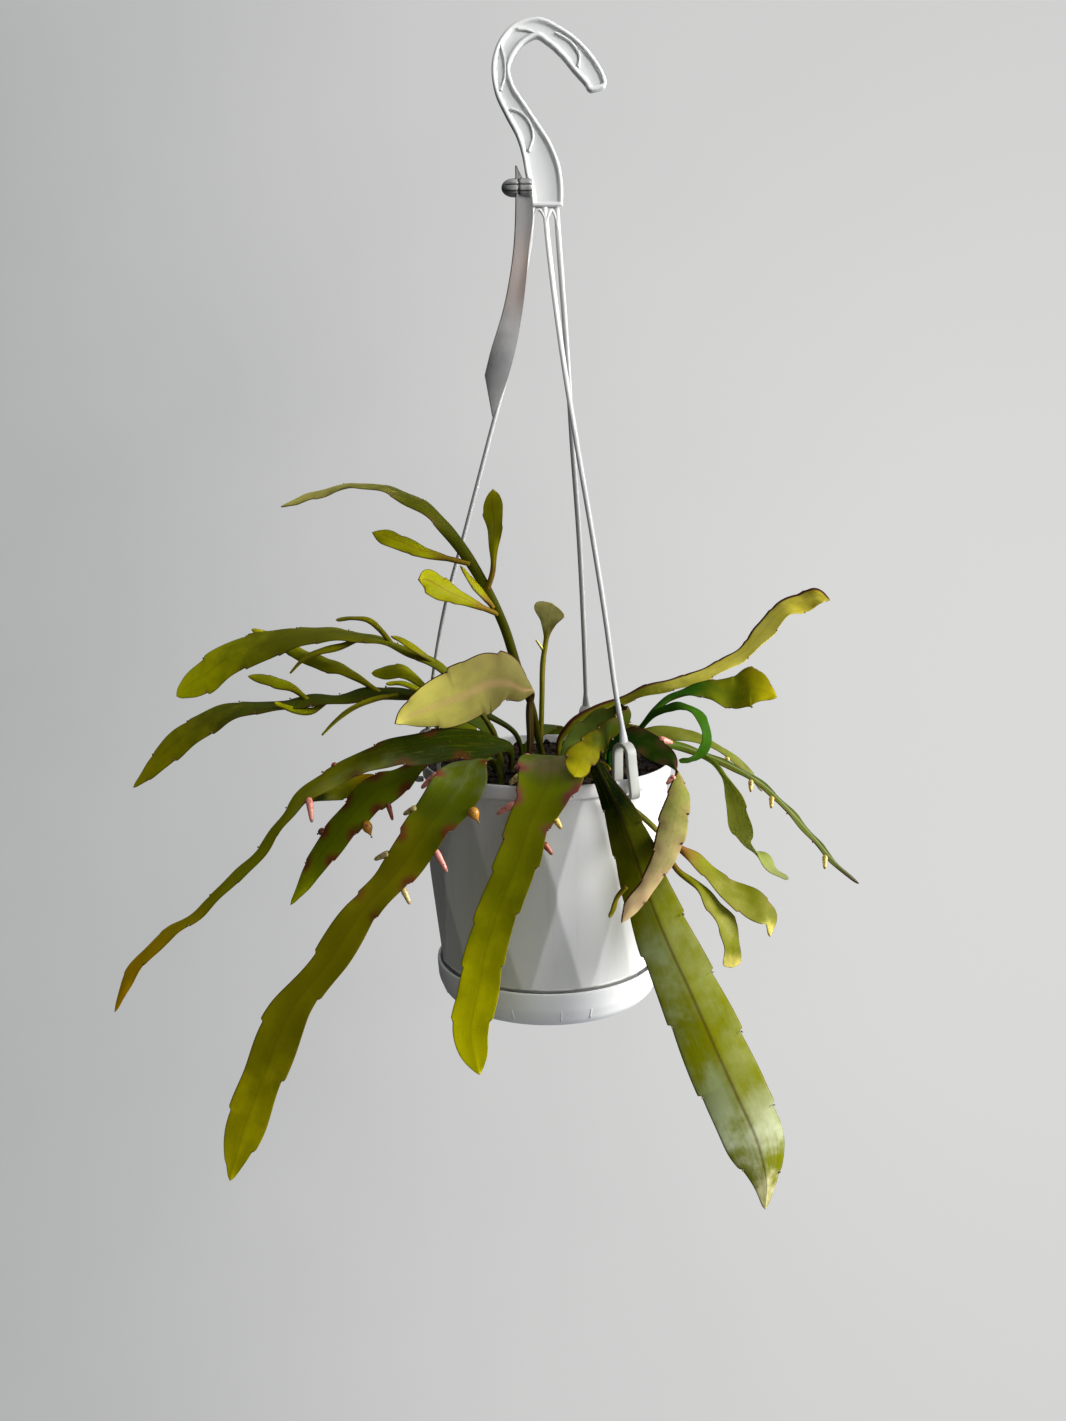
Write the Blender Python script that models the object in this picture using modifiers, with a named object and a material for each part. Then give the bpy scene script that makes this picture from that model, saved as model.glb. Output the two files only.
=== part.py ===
"""Potted rhipsalis in a faceted hanging pot.

Frame: the origin is the bearing point inside the hook, where the hook rests on
what holds it up. +Z is up, +X is to the right and -Y is the front of the plant.
Sizes below are millimetres and become metres when a mesh is made. Heights in the
pot and plant sections are measured from the top of the pot's rim.
"""
import math

import bmesh
import bpy
import numpy as np
from mathutils import Matrix, Vector

MM = 0.001
GAP = 0.3                 # clearance kept between two separate pieces
HANG_DROP = 377.0         # hook bearing down to the top of the rim

RIM_RADIUS = 70.0
RIM_BAND = 7.4            # height of the plain band round the rim
RIM_WALL = 2.0
BODY_TOP_RADIUS = 68.4
BODY_LOW_RADIUS = 62.4
FACET_COUNT = 12
FACET_HALF_ANGLE = 12.7   # degrees from a triangle's middle line to its corner
FACET_TURN = -87.0        # degrees, the middle line of the front triangle
FACET_UPPER_TIP = -56.5   # where the hanging triangles end
FACET_LOWER_TIP = -63.5   # where the standing triangles end
BODY_BOTTOM = -113.5
FOOT_RADIUS = 55.0
FOOT_BOTTOM = -131.5
POT_FLOOR = 2.5
DRAIN_HOLES = 6
DRAIN_RADIUS = 3.5
DRAIN_CIRCLE = 36.0       # radius of the circle that the drain holes lie on

SAUCER_LIP_RADIUS = 64.5
SAUCER_LIP_TOP = -114.6
SAUCER_WALL = 1.8
SAUCER_BASE_RADIUS = 56.0
SAUCER_BOTTOM = -135.5

SOIL_EDGE = -5.0          # soil level at the wall
SOIL_CROWN = -3.2         # soil level in the middle
BUD_SEAT = 0.92           # share of the half width at which a bud starts
BUD_SAG = 0.8             # how far a bud leans down from its margin
ROOT_BOTTOM = -14.0
ROOT_TOP = -1.0
ROOT_RADIUS = 1.6
ROOT_HOLE_RADIUS = 2.1

HOOK_DEPTH = 6.0          # front to back
HOOK_RIM = 1.5            # raised edge of the hook
HOOK_WEB = 1.6            # thin web between the edges
STRAND_RADIUS = 1.6
CLIP_ANGLES = (-173.0, -53.0, 67.0)
CLIP_WIDTH = 7.0
CLIP_BAR = 2.2
CLIP_OUTER_LEG = 71.5     # radius of the outer leg's middle where it leaves the arch
CLIP_OUTER_LOW = 74.6     # and at its foot, under the rim's band
CLIP_INNER_LEG = 61.0
CLIP_SHOULDER = 12.0      # height where the legs meet the arch
CLIP_INNER_FOOT = -12.0
CLIP_OUTER_FOOT = -10.4

TAG_THICKNESS = 0.8
PEG_SIZE = (16.0, 12.4, 8.2)
PEG_LEVEL = 302.5         # height above the rim
PEG_SHIFT = 3.2           # how far its middle lies to the left of the tag

BLADE_EDGE = 0.36         # half thickness at a blade's margin
BLADE_RIB = 0.95          # half thickness at its midrib
BLADE_WIDTH = 3.4         # half width from which a stem counts as a blade
STEM_EDGE = 0.75
STEM_RIB = 1.35
STEM_WIDTH = 1.5          # least half width of a stem
TIP_WIDTH = 0.8           # least half width at a blade's tip
CLEAR_ARM = 1.2           # shorter arms take their direction from a neighbour
RING_GAP = 14.0           # longest stretch between two rings of a loft

# Hook: middle line (x, z from the bearing point) and half width, from the free
# end over the bearing to the foot of the neck plate.
HOOK_LINE = (
    (31.2, -25.2, 3.4), (29.3, -22.0, 5.4), (22.4, -12.2, 6.2), (15.0, -4.4, 5.8), (8.2, 0.6, 5.2),
    (0.0, 4.6, 4.7), (-9.6, 2.0, 5.3), (-16.2, -4.8, 5.2), (-19.4, -14.0, 4.7), (-17.6, -24.5, 5.2),
    (-12.4, -34.0, 5.9), (-6.0, -44.4, 6.6), (-1.2, -54.4, 8.2), (1.6, -64.0, 9.2), (3.2, -73.0, 8.8),
    (3.6, -80.0, 8.3), (3.6, -83.0, 8.1),
)

# Strands: routes (x, y, height above the rim) from the neck plate to each clip.
STRANDS = (
    ((-3.6, 0, 297), (-5, -1, 280), (-9, -2, 260), (-16, -3, 222), (-29, -5, 176), (-43, -6, 127),
     (-55, -8, 85), (-62, -8.6, 49), (-65.4, -8.4, 23), (-65.8, -8.2, 17)),
    ((2.4, 0, 297), (3.6, -3, 280), (5.6, -7, 260), (11, -17, 215), (17, -27, 174), (25, -38, 123),
     (31, -45, 82), (36, -50, 43), (39.3, -52.5, 23), (39.9, -52.9, 17)),
    ((8.4, 0, 297), (9.6, 4, 280), (11, 8, 262), (14, 18, 224), (17, 30, 177), (21, 43, 125),
     (24, 53, 68), (25.7, 60.4, 23), (25.9, 61, 17)),
)

# Plant tag: centre line (x, y, height above the rim) and arm to its left edge.
TAG_LINE = (
    ((-12.2, -13.6, 312), (-0.3, -0.4, 0.2)), ((-8.8, -9.6, 298.5), (-3.8, -4.4, 0.2)),
    ((-10.3, -9.6, 272), (-3.8, -4.4, 0)), ((-12.4, -9.8, 256), (-4.1, -4.4, 0.6)),
    ((-15.4, -10, 240), (-4.6, -4.2, 1.6)), ((-19, -10, 226), (-4.6, -4, 4.6)),
    ((-23, -9.8, 213.5), (-3.6, -3.4, 8.6)), ((-28.6, -9.4, 198.5), (-1.8, -1.4, 10.8)),
)

# Fronds. Each station is the middle of the blade (x, y, height above the rim) and
# the arm from there to its left margin; the right margin mirrors it. The first
# station of a frond that stands in the soil gives only its root (x, y).
FRONDS = {
    "frond_front_left": dict(root=(-26, -34), pitch=40, notch=0.13, line=(
        (-40, -57, 10, -10, 2, -1), (-46, -75, 2, -15.5, 2, 1), (-59, -84, -14, -15, 2, -1.5),
        (-78, -90, -40, -14.5, 2, -4), (-95, -95, -58, -13.5, 2, -3.5), (-110, -99, -80, -14.5, 2, -5),
        (-130, -103, -105, -14.5, 2, -3.5), (-144, -107, -137, -12, 2, -1),
        (-157, -110, -171, -9, 2, 1.5), (-163, -111, -191, -1, 0, 0.5))),
    "frond_front_center": dict(root=(0, -24), pitch=26, notch=0.12, line=(
        (2, -50, 10, -16, 2, 0.5), (0, -72, 3, -17.5, 2, 0), (-10, -80, -16, -12, 2, -0.5),
        (-16, -85, -34, -11.5, 2, 1), (-24, -89, -53, -11.5, 2, -0.5), (-32, -92, -76, -11, 2, -0.5),
        (-37, -95, -100, -11, 2, -0.5), (-41, -97, -120, -10, 2, -0.5), (-39, -98, -134, -6.5, 1, -1),
        (-37, -99, -142, -1, 0, 0))),
    "frond_front_right": dict(root=(20, -34), pitch=34, notch=0.1, line=(
        (24, -58, 10, -3.5, 0, -0.5), (28, -72, 3, -5, 0, -1), (34, -75, -9, -7.5, 1, -2),
        (42, -76, -30, -10.5, 1.5, -3.5), (50, -77, -55, -12.5, 0, -4), (60, -79, -81, -14, -2, -6),
        (72, -82, -108, -15.5, -3.5, -6), (84, -85, -136, -17, -4, -5.5), (95, -88, -161, -17.5, -4, -3.5),
        (107, -91, -190, -15.5, -3.5, -1.5), (110, -93, -206, -8, -2, -1.5), (110, -94, -222, -1, 0, -0.5))),
    "frond_folded_right": dict(root=(34, -16), pitch=17, notch=0.12, line=(
        (36, -21, 11, 1, 3.5, 3), (47, -26, 15, 1.5, 6, 6), (58, -36, 11, 2, 5, 6),
        (66, -47, 6, 1, 4, 3.5), (68, -59, -4, -5, 0, 2), (64, -71, -17, -8.5, -1, -0.5),
        (58, -83, -32, -8, -1, -1), (49, -89, -46, -7, -1, -2), (40, -93, -57, -4.5, 0, 1),
        (35, -95, -64, -0.5, 0, 0.5))),
    "frond_forked_right": dict(root=(14, -42), pitch=60, notch=0, line=(
        (20, -56, 3.5, 0, 1, 0.5), (24, -65, 3.2, 0.5, 0.8, 0.5), (30, -70.4, -1, 1, 0, 0.8),
        (38, -67, -9, 0.8, 0, 0.9), (48, -62, -18, 1, 0, 1), (61, -60, -31, 1, 0, 0.8))),
    "frond_pale_left": dict(root=(-10, -10), pitch=24, notch=0.12, line=(
        (-9, -13, 13, -2, 0, 0), (-9, -16, 33, -2, 0, 0), (-8, -22, 42, -1, 0, 2.5),
        (-13, -29, 44, -0.5, -3, 8.5), (-20, -34, 48, -1.5, -4, 15), (-30, -38, 49, -1.5, -5, 18),
        (-40, -42, 45, -2.5, -5, 17.5), (-52, -46, 41, -3, -5, 15.5), (-65, -50, 37, -2.5, -4, 11),
        (-74, -53, 34, -0.5, -2, 6), (-79, -55, 31, 0, 0, 1))),
    "frond_long_left": dict(root=(-20, -22), pitch=26, notch=0.13, line=(
        (-20, -29, 12, 1, 3, 1.5), (-31, -38, 16, 2.5, 6, 5), (-47, -44, 18, 0.5, 8, 7.5),
        (-65, -48, 17, 1.5, 8, 8), (-81, -50, 15, 0, 8, 6.5), (-94, -51, 12, -2.5, 8, 4.5),
        (-106, -52, 6, -3.5, 8, 3.5), (-120, -53, -1, -4, 8, 2.5), (-131, -54, -9, -4, 8, 0.5),
        (-139, -55, -19, -3.6, 8, -0.5), (-156, -57, -41, -3.8, 7, 0), (-171, -59, -54, -4.2, 7, -0.7),
        (-184, -61, -67, -5.2, 6, -1.8), (-199, -63, -77, -6.2, 5, -1.2), (-211, -65, -87, -6, 4, -1.7),
        (-221, -66, -99, -5, 3, -1.3), (-230, -68, -119, -0.5, 0, 0.5))),
    "frond_lower_left": dict(root=(-30, -8), pitch=19, notch=0.12, line=(
        (-46, -14, 7, 0.5, 2, 2), (-57, -20, 9, 0.5, 3, 2.5), (-66, -27, 6.5, 0, 5, 4.5),
        (-81, -34, -4.5, -1.5, 6, 7), (-92, -38, -9, -4, 6, 8.5), (-102, -41, -18, -5, 6, 6.5),
        (-110, -44, -27, -5, 6, 6.5), (-118, -46, -37, -5, 5, 5), (-125, -48, -47, -5, 4, 3.5),
        (-130, -50, -55, -3.5, 3, 2), (-138, -52, -67, -0.5, 0, 0.5))),
    "frond_arch_left": dict(root=(-20, 0), pitch=27, notch=0.12, line=(
        (-28, -6, 13, -0.6, 1.4, 0), (-33, -9, 23, -0.4, 1.4, 0.5), (-46, -15, 41, 0, 1.6, 1.5),
        (-58, -20, 56, 1, 2, 2), (-72, -20, 63, 1, 4, 1.5), (-86, -17, 69, 0, 7, 1),
        (-104, -12, 72, -1, 9, 2), (-120, -8, 73, -1, 10, 3), (-141, -3, 70, -3, 10, 5),
        (-160, 1, 65, -4, 10, 7.5), (-177, 5, 59, -5.5, 9, 7.5), (-192, 9, 49, -5.5, 8, 8),
        (-202, 12, 43, -5.5, 6, 6), (-211, 14, 36, -1.5, 1, 1))),
    "frond_side_left": dict(root=(-14, 8), pitch=25, notch=0.12, line=(
        (-17, 3, 13, 0.8, 1.2, 0.6), (-30, -3, 24, 0.8, 1.6, 1), (-50, -12, 34, 0, 3, 1.5),
        (-72, -20, 40, 0.5, 4, 2), (-82, -22, 42, -0.5, 6, 2.5), (-96, -24, 42, -0.5, 7, 3),
        (-111, -25, 40, -1, 8, 1.5), (-129, -25, 39, -2.5, 8, 2), (-148, -24, 36, -3, 9, 1),
        (-168, -23, 34, -3.5, 9, 3), (-181, -22, 29, -5.5, 9, 4), (-195, -21, 21, -6.5, 8, 4),
        (-206, -20, 13, -7, 7, 3.5), (-214, -19, 5, -5.5, 5, 2.5), (-222, -18, -3, -4.5, 3, 0),
        (-229, -17, -10, -0.5, 0, 0.5))),
    "frond_tall_left": dict(root=(-2, 2), pitch=26, notch=0.12, line=(
        (-5, -2, 14, 2, 0, 0), (-7, -5, 27, 2, 0, 0), (-15, -10, 51, 2.4, 0, 1),
        (-23, -14, 78, 2.4, 0, 1), (-33, -18, 100, 2.4, 0, 1.5), (-47, -23, 123, 2.6, 0.5, 2),
        (-61, -23, 139, 2, 5, 2.5), (-72, -20, 146, 1, 8, 3), (-84, -14, 151, -0.5, 10, 2),
        (-98, -7, 153, -1.5, 11, 1), (-110, -1, 152, -2, 10, 1.5), (-123, 5, 149, -2, 8, 2),
        (-134, 10, 146, -2, 5, 1.5), (-146, 14, 142, -0.5, 0.3, 0.3))),
    "shoot_upright": dict(root=(-4, 14), pitch=60, notch=0, line=(
        (-3, 14, 9, -1.5, 0, 0), (-2, 15, 31, -1.5, 0, 0), (-1, 15, 54, -1.6, 0, 0),
        (1, 14, 67, -1.6, 0, 0), (2, 12, 75, -4, 3, 0), (3, 10, 83, -8.5, 4, 2.5),
        (4, 9, 87, -5.5, 3, 1.5))),
    "frond_high_right": dict(root=(7, 9), pitch=24, notch=0.13, line=(
        (8, 10, 8, -1.4, 0.6, 1), (14, 11, 16, -1.5, 1, 2), (28, 15, 24, -1.5, 2, 2),
        (42, 19, 28, -0.5, 3, 2), (60, 24, 34, -0.5, 5, 2.5), (83, 30, 38, -1, 7, 2.5),
        (105, 36, 46, -2.5, 8, 1.5), (120, 41, 54, -2, 9, 1.5), (132, 46, 66, -4, 9, 1.5),
        (143, 50, 77, -2.5, 9, 3), (156, 54, 81, -2, 8, 5), (166, 57, 85, -1.5, 5, 4.5),
        (173, 59, 82, 0.5, 0, 1))),
    "frond_scalloped": dict(root=(8, -12), pitch=13, notch=0.2, line=(
        (11, -11, 9, -1.6, 1.6, 1.2), (19, -9, 13.5, -3, 3, 6), (30, -9, 20.5, -2, 4, 7.5),
        (40, -14, 25, -1, 3, 7), (45, -23, 28.5, -0.5, 0, 5.5), (42, -34, 28.5, -1, -3, 5),
        (36, -43, 26, -2.5, -3.5, 5), (29, -51, 22, -4.5, -3, 5), (22, -61, 18, -7.5, -3, 4),
        (16, -70, 13.5, -8.5, -2.5, 3), (13.5, -77, 9.5, -6, -2, 1.5), (12.5, -80.5, 7, -1, 0, 0))),
    "frond_curled_right": dict(root=(28, 2), pitch=17, notch=0.14, line=(
        (53, 0, 16, -1, 0, 1.2), (62, 4, 26, -1, 0, 1.5), (70, 7, 32, -1, 1, 1.5), (80, 9, 35, 0.5, 3, 2),
        (94, 10, 36, 2, 4, 5.5), (108, 10, 34, 3, 5, 9.5), (117, 8, 37, 4.5, 5, 12),
        (125, 6, 35, 4, 3, 4.5), (131, 5, 32, 1, 1, 1))),
    "frond_strap_right": dict(root=(22, 16), pitch=25, notch=0.1, line=(
        (50, 14, 9, -1, 1, 2), (63, 16, 10, 0.5, 3, 3.5), (81, 19, 8, 0.5, 5, 3), (95, 22, 3, 2, 6, 0.5),
        (108, 24, -6, 2.5, 6, 0), (120, 26, -16, 2, 4, 0.5), (128, 27, -28, 0.5, 0.4, 0.5))),
    "frond_far_right": dict(root=(34, 11), pitch=22, notch=0.1, line=(
        (60, 6, 7, 0, 1, 2), (78, 4, 4, 0.5, 2, 2), (91, 3, -1, 1, 3, 1.2), (107, 1, -8, 1.4, 5, 0.7),
        (124, -1, -19, 1.8, 6, 0.3), (138, -3, -33, 2, 6, 0.3), (152, -4, -49, 2, 6, 0.3),
        (166, -5, -65, 1.6, 4, 0), (178, -6, -75, 0.5, 0.3, 0.5))),
    "shoot_small": dict(root=(-25, -50), pitch=60, notch=0, line=(
        (-25, -50, 4, -1.6, 0.4, 0), (-25, -49.6, 8, -2, 1, 0), (-25, -49, 11.5, -1.5, 0.8, 0),
        (-25, -49, 14, -0.6, 0, 0))),
    "frond_back_center": dict(root=(-12, 26), pitch=25, notch=0.12, line=(
        (-4, 46, 4, -3, 1, 0), (1, 62, 6, -7.5, 2, 0.5), (2, 75, 4, -10, 2, 0), (4, 93, -16, -12.5, 2, 0),
        (6, 110, -52, -14, 1, 0), (10, 120, -92, -13, 0, 0), (12, 124, -122, -8, 0, 0),
        (12, 125, -136, -1, 0, 0))),
    "frond_back_left": dict(root=(-28, 22), pitch=27, notch=0.12, line=(
        (-42, 48, 15, -8, -5, 0), (-52, 78, 16, -12, -6, 0), (-58, 104, -8, -14, -5, 0),
        (-60, 118, -46, -13, -4, 0), (-58, 124, -80, -8, -2, 0), (-56, 126, -96, -1, 0, 0))),
    "frond_back_right": dict(root=(16, 30), pitch=24, notch=0.12, line=(
        (30, 42, 8, -4, 3.5, 0), (43, 54, 8.5, -5.5, 4.5, 0), (52, 68, 5, -8, 5, 0),
        (57, 88, -10, -10, 5, 0), (59, 106, -36, -11, 5, 0), (60, 118, -72, -9, 4, 0),
        (60, 122, -102, -1, 0, 0))),
}

# Side leaves, each fused into its frond; its first station lies inside that frond.
SIDE_LEAVES = {
    "frond_forked_right": (
        ((58, -60, -28, 0.5, 0, 1), (68, -60, -36, 1, 0, 1.5), (75, -61, -41, 2, 3, 2),
         (89, -62, -55, 3.5, 5, 2.5), (100, -63, -63, 4.5, 6, 5), (108, -64, -68, 4, 6, 6),
         (115, -65, -74, 4, 5, 3), (115, -67, -83, 1, 0, -0.5)),
        ((59, -60, -28, 0.5, 0, 1), (62, -62, -39, 1, 0, 0.8), (66, -64, -46, 1.2, 0, 1),
         (78, -66, -56, 2, 3, 0.5), (85, -68, -66, 5, 5, -0.5), (92, -70, -76, 6.5, 5, -1),
         (94, -72, -86, 5.5, 4, -2), (94, -74, -97, 5.5, 3, -0.5)),
    ),
    "frond_tall_left": (
        ((-40, -21, 111, 0, 0, 1), (-48, -22, 113, 0.5, 0, 1), (-56, -22, 115, 0, 1, 2),
         (-66, -22, 118, 1, 3, 3), (-75, -21, 122, 1, 4, 4), (-85, -19, 126, 1.5, 4, 4),
         (-92, -17, 128, 0, 0, 0.8)),
        ((-26, -15, 83.5, 0.5, 0, 1), (-29, -17, 85, 0.5, 0, 1), (-35, -21, 88, 1, 1, 1.5),
         (-42, -26, 92, 1.5, 2, 2.5), (-50, -31, 96, 2, 3, 4.5), (-56, -35, 100, 2, 4, 6.5),
         (-63, -38, 104, 1.5, 3, 5), (-66, -40, 104, 0, 0, 1.5)),
        ((-31, -17.5, 97, -1, 0, 0), (-28, -20, 106, -1, 0, 0), (-27, -22, 120, -2.5, 1, 0.5),
         (-26, -22, 133, -5, 3, 0), (-27, -20, 141, -6, 4, 0.5), (-27, -18, 147, -3.5, 2, 1),
         (-27, -17, 150, -0.8, 0, 0)),
        ((-28, -16, 87, 0.5, 0, 0.8), (-34, -20, 95, 1.5, 3, 0.5), (-40, -22, 103, 1.5, 3, 0.5),
         (-45, -22, 110, 0.5, 0, 0.5)),
    ),
    "shoot_upright": (
        ((-1, 15, 60, 0, 0, 1), (-3, 12, 63, -1, 1, 1.5), (-5, 10, 66, -0.5, 0, 0.5)),
    ),
    "frond_arch_left": (
        ((-84, -17, 68.6, 1, 0, 0.4), (-89, -16, 75, 1, 1, 0.5), (-96, -15, 81, 1, 2, 0.5),
         (-104, -14, 82, -0.5, 3, 0.5), (-114, -12, 81, 0, 1, 1)),
        ((-101, -13, 71, 0, 0.5, 0.8), (-111, -16, 67, 0, 2, 1.5), (-121, -17, 65, 0, 3, 1.5),
         (-132, -18, 60, 0.5, 2, 1.5), (-139, -19, 53, 0.5, 0, 0.6)),
        ((-61, -20, 58, 0.5, 0, 1), (-70, -25, 66, 0.5, 3, 1), (-77, -25, 71, 0.5, 3, 1),
         (-83, -24, 73, 0, 0.3, 0.8)),
    ),
    "frond_side_left": (
        ((-129, -25, 39.2, 0.5, 0, 0.8), (-137, -22, 45, 0.5, 2, 1.5), (-147, -19, 48, 0.5, 3, 2.5),
         (-156, -16, 50, 0.5, 2, 2.5), (-163, -14, 51, 0, 0, 1)),
        ((-118, -27, 39, 0, 0, 0.8), (-126, -30, 34, 0, 2, 1.5), (-135, -31, 35, 0, 2, 1.5),
         (-146, -31, 39, 0.5, 0, 0.5)),
        ((-80, -24, 41, 0.5, 0, 0.8), (-92, -30, 40, 0.5, 2, 1), (-105, -34, 35, 1, 2, 1),
         (-113, -36, 29, 2, 2, 1.5), (-120, -37, 22, 0.5, 0, 0.5)),
        ((-61, -16, 37, 0.5, 0, 1), (-70, -16, 47, 1, 2, 1.5), (-78, -13, 52, -0.5, 5, 3.5),
         (-87, -11, 52, -0.5, 5, 3.5), (-96, -9, 51, 0, 1, 1.5)),
        ((-63, -17, 37.6, 0.4, 0, 0.8), (-69, -26, 44, 0, 2, 1), (-77, -28, 48, 0, 2, 1),
         (-86, -29, 48, 0, 0, 0.6)),
        ((-90, -23, 42, 1, 0, 0.6), (-102, -16, 49, 0.5, 2, 1.5), (-111, -11, 53, 1, 4, 2),
         (-123, -5, 56, -1.5, 6, 4), (-136, 4, 60, -2, 6, 4), (-148, 11, 65, -2, 6, 4),
         (-159, 18, 70, -2, 5, 3), (-168, 22, 73, 0.5, 0, 1)),
    ),
    "frond_long_left": (
        ((-130, -53, -9, 0, 0, 0.8), (-122, -43, -11, 0.5, 0, 1.5), (-113, -31, -10, -1, 3, 5),
         (-103, -25, -8, -1.5, 3, 6), (-94, -21, -4, -0.5, 0, 1.5)),
    ),
    "frond_curled_right": (
        ((53, 0, 16, -1, 0, 1), (61, -2, 25, -1, 1, 1.5), (68, -4, 28, 0, 3, 1.5),
         (74, -8, 30, 0, 4, 1.5), (81, -11, 28, 1.5, 4, 1), (86, -14, 23, 2.5, 4, 1),
         (88, -17, 15, 3.5, 4, -1), (85, -20, 7, 3, 4, -2), (78, -23, 3, 1.5, 4, -2.5),
         (72, -25, 3, 0.5, 2, -2)),
    ),
    "frond_far_right": (
        ((86, 3, 0.8, -0.6, 0, -0.8), (95, -4, -4, -1, 0, -0.8), (100, -7, -11, -2, 1, 0.5),
         (105, -9, -23, -4.5, 3, -1), (107, -11, -32, -5.5, 5, -1.5), (109, -13, -41, -5, 7, -2),
         (112, -15, -48, -1.5, 9, -3), (115, -17, -51, 1.5, 8, -3), (120, -19, -55, 3, 6, 1),
         (125, -21, -61, 3, 4, 0), (134, -23, -66, 1, 1, 1)),
    ),
    "frond_front_right": (
        ((25, -59, 9.6, -0.6, 0, 0.6), (29, -61, 9, -1, 0, 1.4), (32, -63, 7, 0, 0, 0.6)),
        ((39, -77, -51, 0.5, 0, 0.8), (34, -78, -57, 1, 1, 0), (32, -79, -63, 1.5, 1, 0),
         (30, -79, -67, 0.8, 0, 0)),
    ),
}

# Buds and fruits: part of the way along the frond, margin (1 left, -1 right),
# length and radius.
BUDS = {
    "frond_long_left": ((0.48, -1, 13, 2.0), (0.42, 1, 11, 1.8)),
    "frond_lower_left": ((0.64, -1, 9, 2.8), (0.53, -1, 9, 1.6), (0.75, 1, 6, 2.0)),
    "frond_front_left": (
        (0.2, 1, 12, 2.2), (0.29, 1, 9, 2.0), (0.38, 1, 10, 2.0), (0.33, -1, 12, 1.9), (0.41, -1, 8, 1.7),
        (0.24, -1, 8, 3.0)),
    "frond_front_center": (
        (0.16, 1, 11, 2.6), (0.3, 1, 7, 2.0), (0.38, 1, 12, 2.2), (0.37, -1, 6, 1.9), (0.44, -1, 7, 1.9)),
    "frond_folded_right": ((0.32, 1, 9, 2.2), (0.48, 1, 6, 1.8)),
    "frond_far_right": ((0.54, -1, 7, 1.6), (0.62, -1, 7, 1.6), (0.86, -1, 8, 1.6)),
    "frond_strap_right": ((0.76, -1, 7, 1.7),),
}

GREEN = (0.17, 0.24, 0.02, 1.0)
FROND_COLORS = {
    "frond_front_center": (0.24, 0.30, 0.02, 1.0), "frond_front_right": (0.20, 0.26, 0.03, 1.0),
    "frond_pale_left": (0.42, 0.38, 0.12, 1.0), "frond_scalloped": (0.52, 0.50, 0.05, 1.0),
    "frond_folded_right": (0.24, 0.28, 0.10, 1.0), "frond_far_right": (0.14, 0.30, 0.04, 1.0),
    "frond_strap_right": (0.20, 0.34, 0.12, 1.0), "frond_curled_right": (0.12, 0.28, 0.02, 1.0),
    "frond_tall_left": (0.18, 0.17, 0.01, 1.0), "frond_high_right": (0.26, 0.26, 0.04, 1.0),
}


def clear_scene():
    for obj in list(bpy.data.objects):
        bpy.data.objects.remove(obj, do_unlink=True)


def new_collection(name):
    collection = bpy.data.collections.new(name)
    bpy.context.scene.collection.children.link(collection)
    return collection


def make_material(name, color, roughness, metallic=0.0):
    material = bpy.data.materials.new(name)
    material.use_nodes = True
    shader = material.node_tree.nodes["Principled BSDF"]
    shader.inputs["Base Color"].default_value = color
    shader.inputs["Roughness"].default_value = roughness
    shader.inputs["Metallic"].default_value = metallic
    return material


def add_object(name, mesh, collection, material=None):
    obj = bpy.data.objects.new(name, mesh)
    collection.objects.link(obj)
    if material is not None:
        obj.data.materials.clear()
        obj.data.materials.append(material)
    return obj


def mesh_from(name, points, faces):
    """A mesh from points in millimetres, with its faces turned outward."""
    mesh = bpy.data.meshes.new(name)
    mesh.from_pydata([tuple(MM * float(value) for value in point) for point in points], [], faces)
    work = bmesh.new()
    work.from_mesh(mesh)
    bmesh.ops.recalc_face_normals(work, faces=work.faces)
    work.to_mesh(mesh)
    work.free()
    return mesh


def baked(obj):
    """Replace an object's mesh or curve by its evaluated, welded mesh."""
    graph = bpy.context.evaluated_depsgraph_get()
    mesh = bpy.data.meshes.new_from_object(obj.evaluated_get(graph), depsgraph=graph)
    mesh.transform(obj.matrix_world)
    work = bmesh.new()
    work.from_mesh(mesh)
    bmesh.ops.remove_doubles(work, verts=work.verts, dist=0.000002)
    bmesh.ops.recalc_face_normals(work, faces=work.faces)
    work.to_mesh(mesh)
    work.free()
    name, collection = obj.name, obj.users_collection[0]
    bpy.data.objects.remove(obj, do_unlink=True)
    return add_object(name, mesh, collection)


def combine(obj, pieces, operation, collection_name):
    """Join pieces to an object, or cut them out of it, in one applied Boolean."""
    group = bpy.data.collections.new(collection_name)
    bpy.context.scene.collection.children.link(group)
    for piece in pieces:
        for owner in list(piece.users_collection):
            owner.objects.unlink(piece)
        group.objects.link(piece)
    modifier = obj.modifiers.new("join", "BOOLEAN")
    modifier.operation = operation
    modifier.operand_type = "COLLECTION"
    modifier.collection = group
    modifier.solver = "EXACT"
    bpy.context.view_layer.update()
    result = baked(obj)
    for piece in list(group.objects):
        bpy.data.objects.remove(piece, do_unlink=True)
    bpy.data.collections.remove(group)
    return result


def catmull_rom(rows, steps):
    """Smooth curve through the rows, its tangents weighted by the spans' lengths."""
    rows = np.array(rows, float)
    spans = np.diff(rows, axis=0)
    lengths = np.linalg.norm(spans[:, :3], axis=1)[:, None]
    slopes = spans / lengths
    inner = (slopes[:-1] * lengths[1:] + slopes[1:] * lengths[:-1]) / (lengths[1:] + lengths[:-1])
    tangents = np.vstack([slopes[:1], inner, slopes[-1:]])
    t = np.linspace(0.0, 1.0, steps, endpoint=False)[:, None]
    parts = []
    for k, length in enumerate(lengths):
        start, end = rows[k], rows[k + 1]
        out, into = tangents[k] * length, tangents[k + 1] * length
        parts.append((2 * t ** 3 - 3 * t ** 2 + 1) * start + (t ** 3 - 2 * t ** 2 + t) * out
                     + (3 * t ** 2 - 2 * t ** 3) * end + (t ** 3 - t ** 2) * into)
    return np.vstack(parts + [rows[-1:]])


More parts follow.
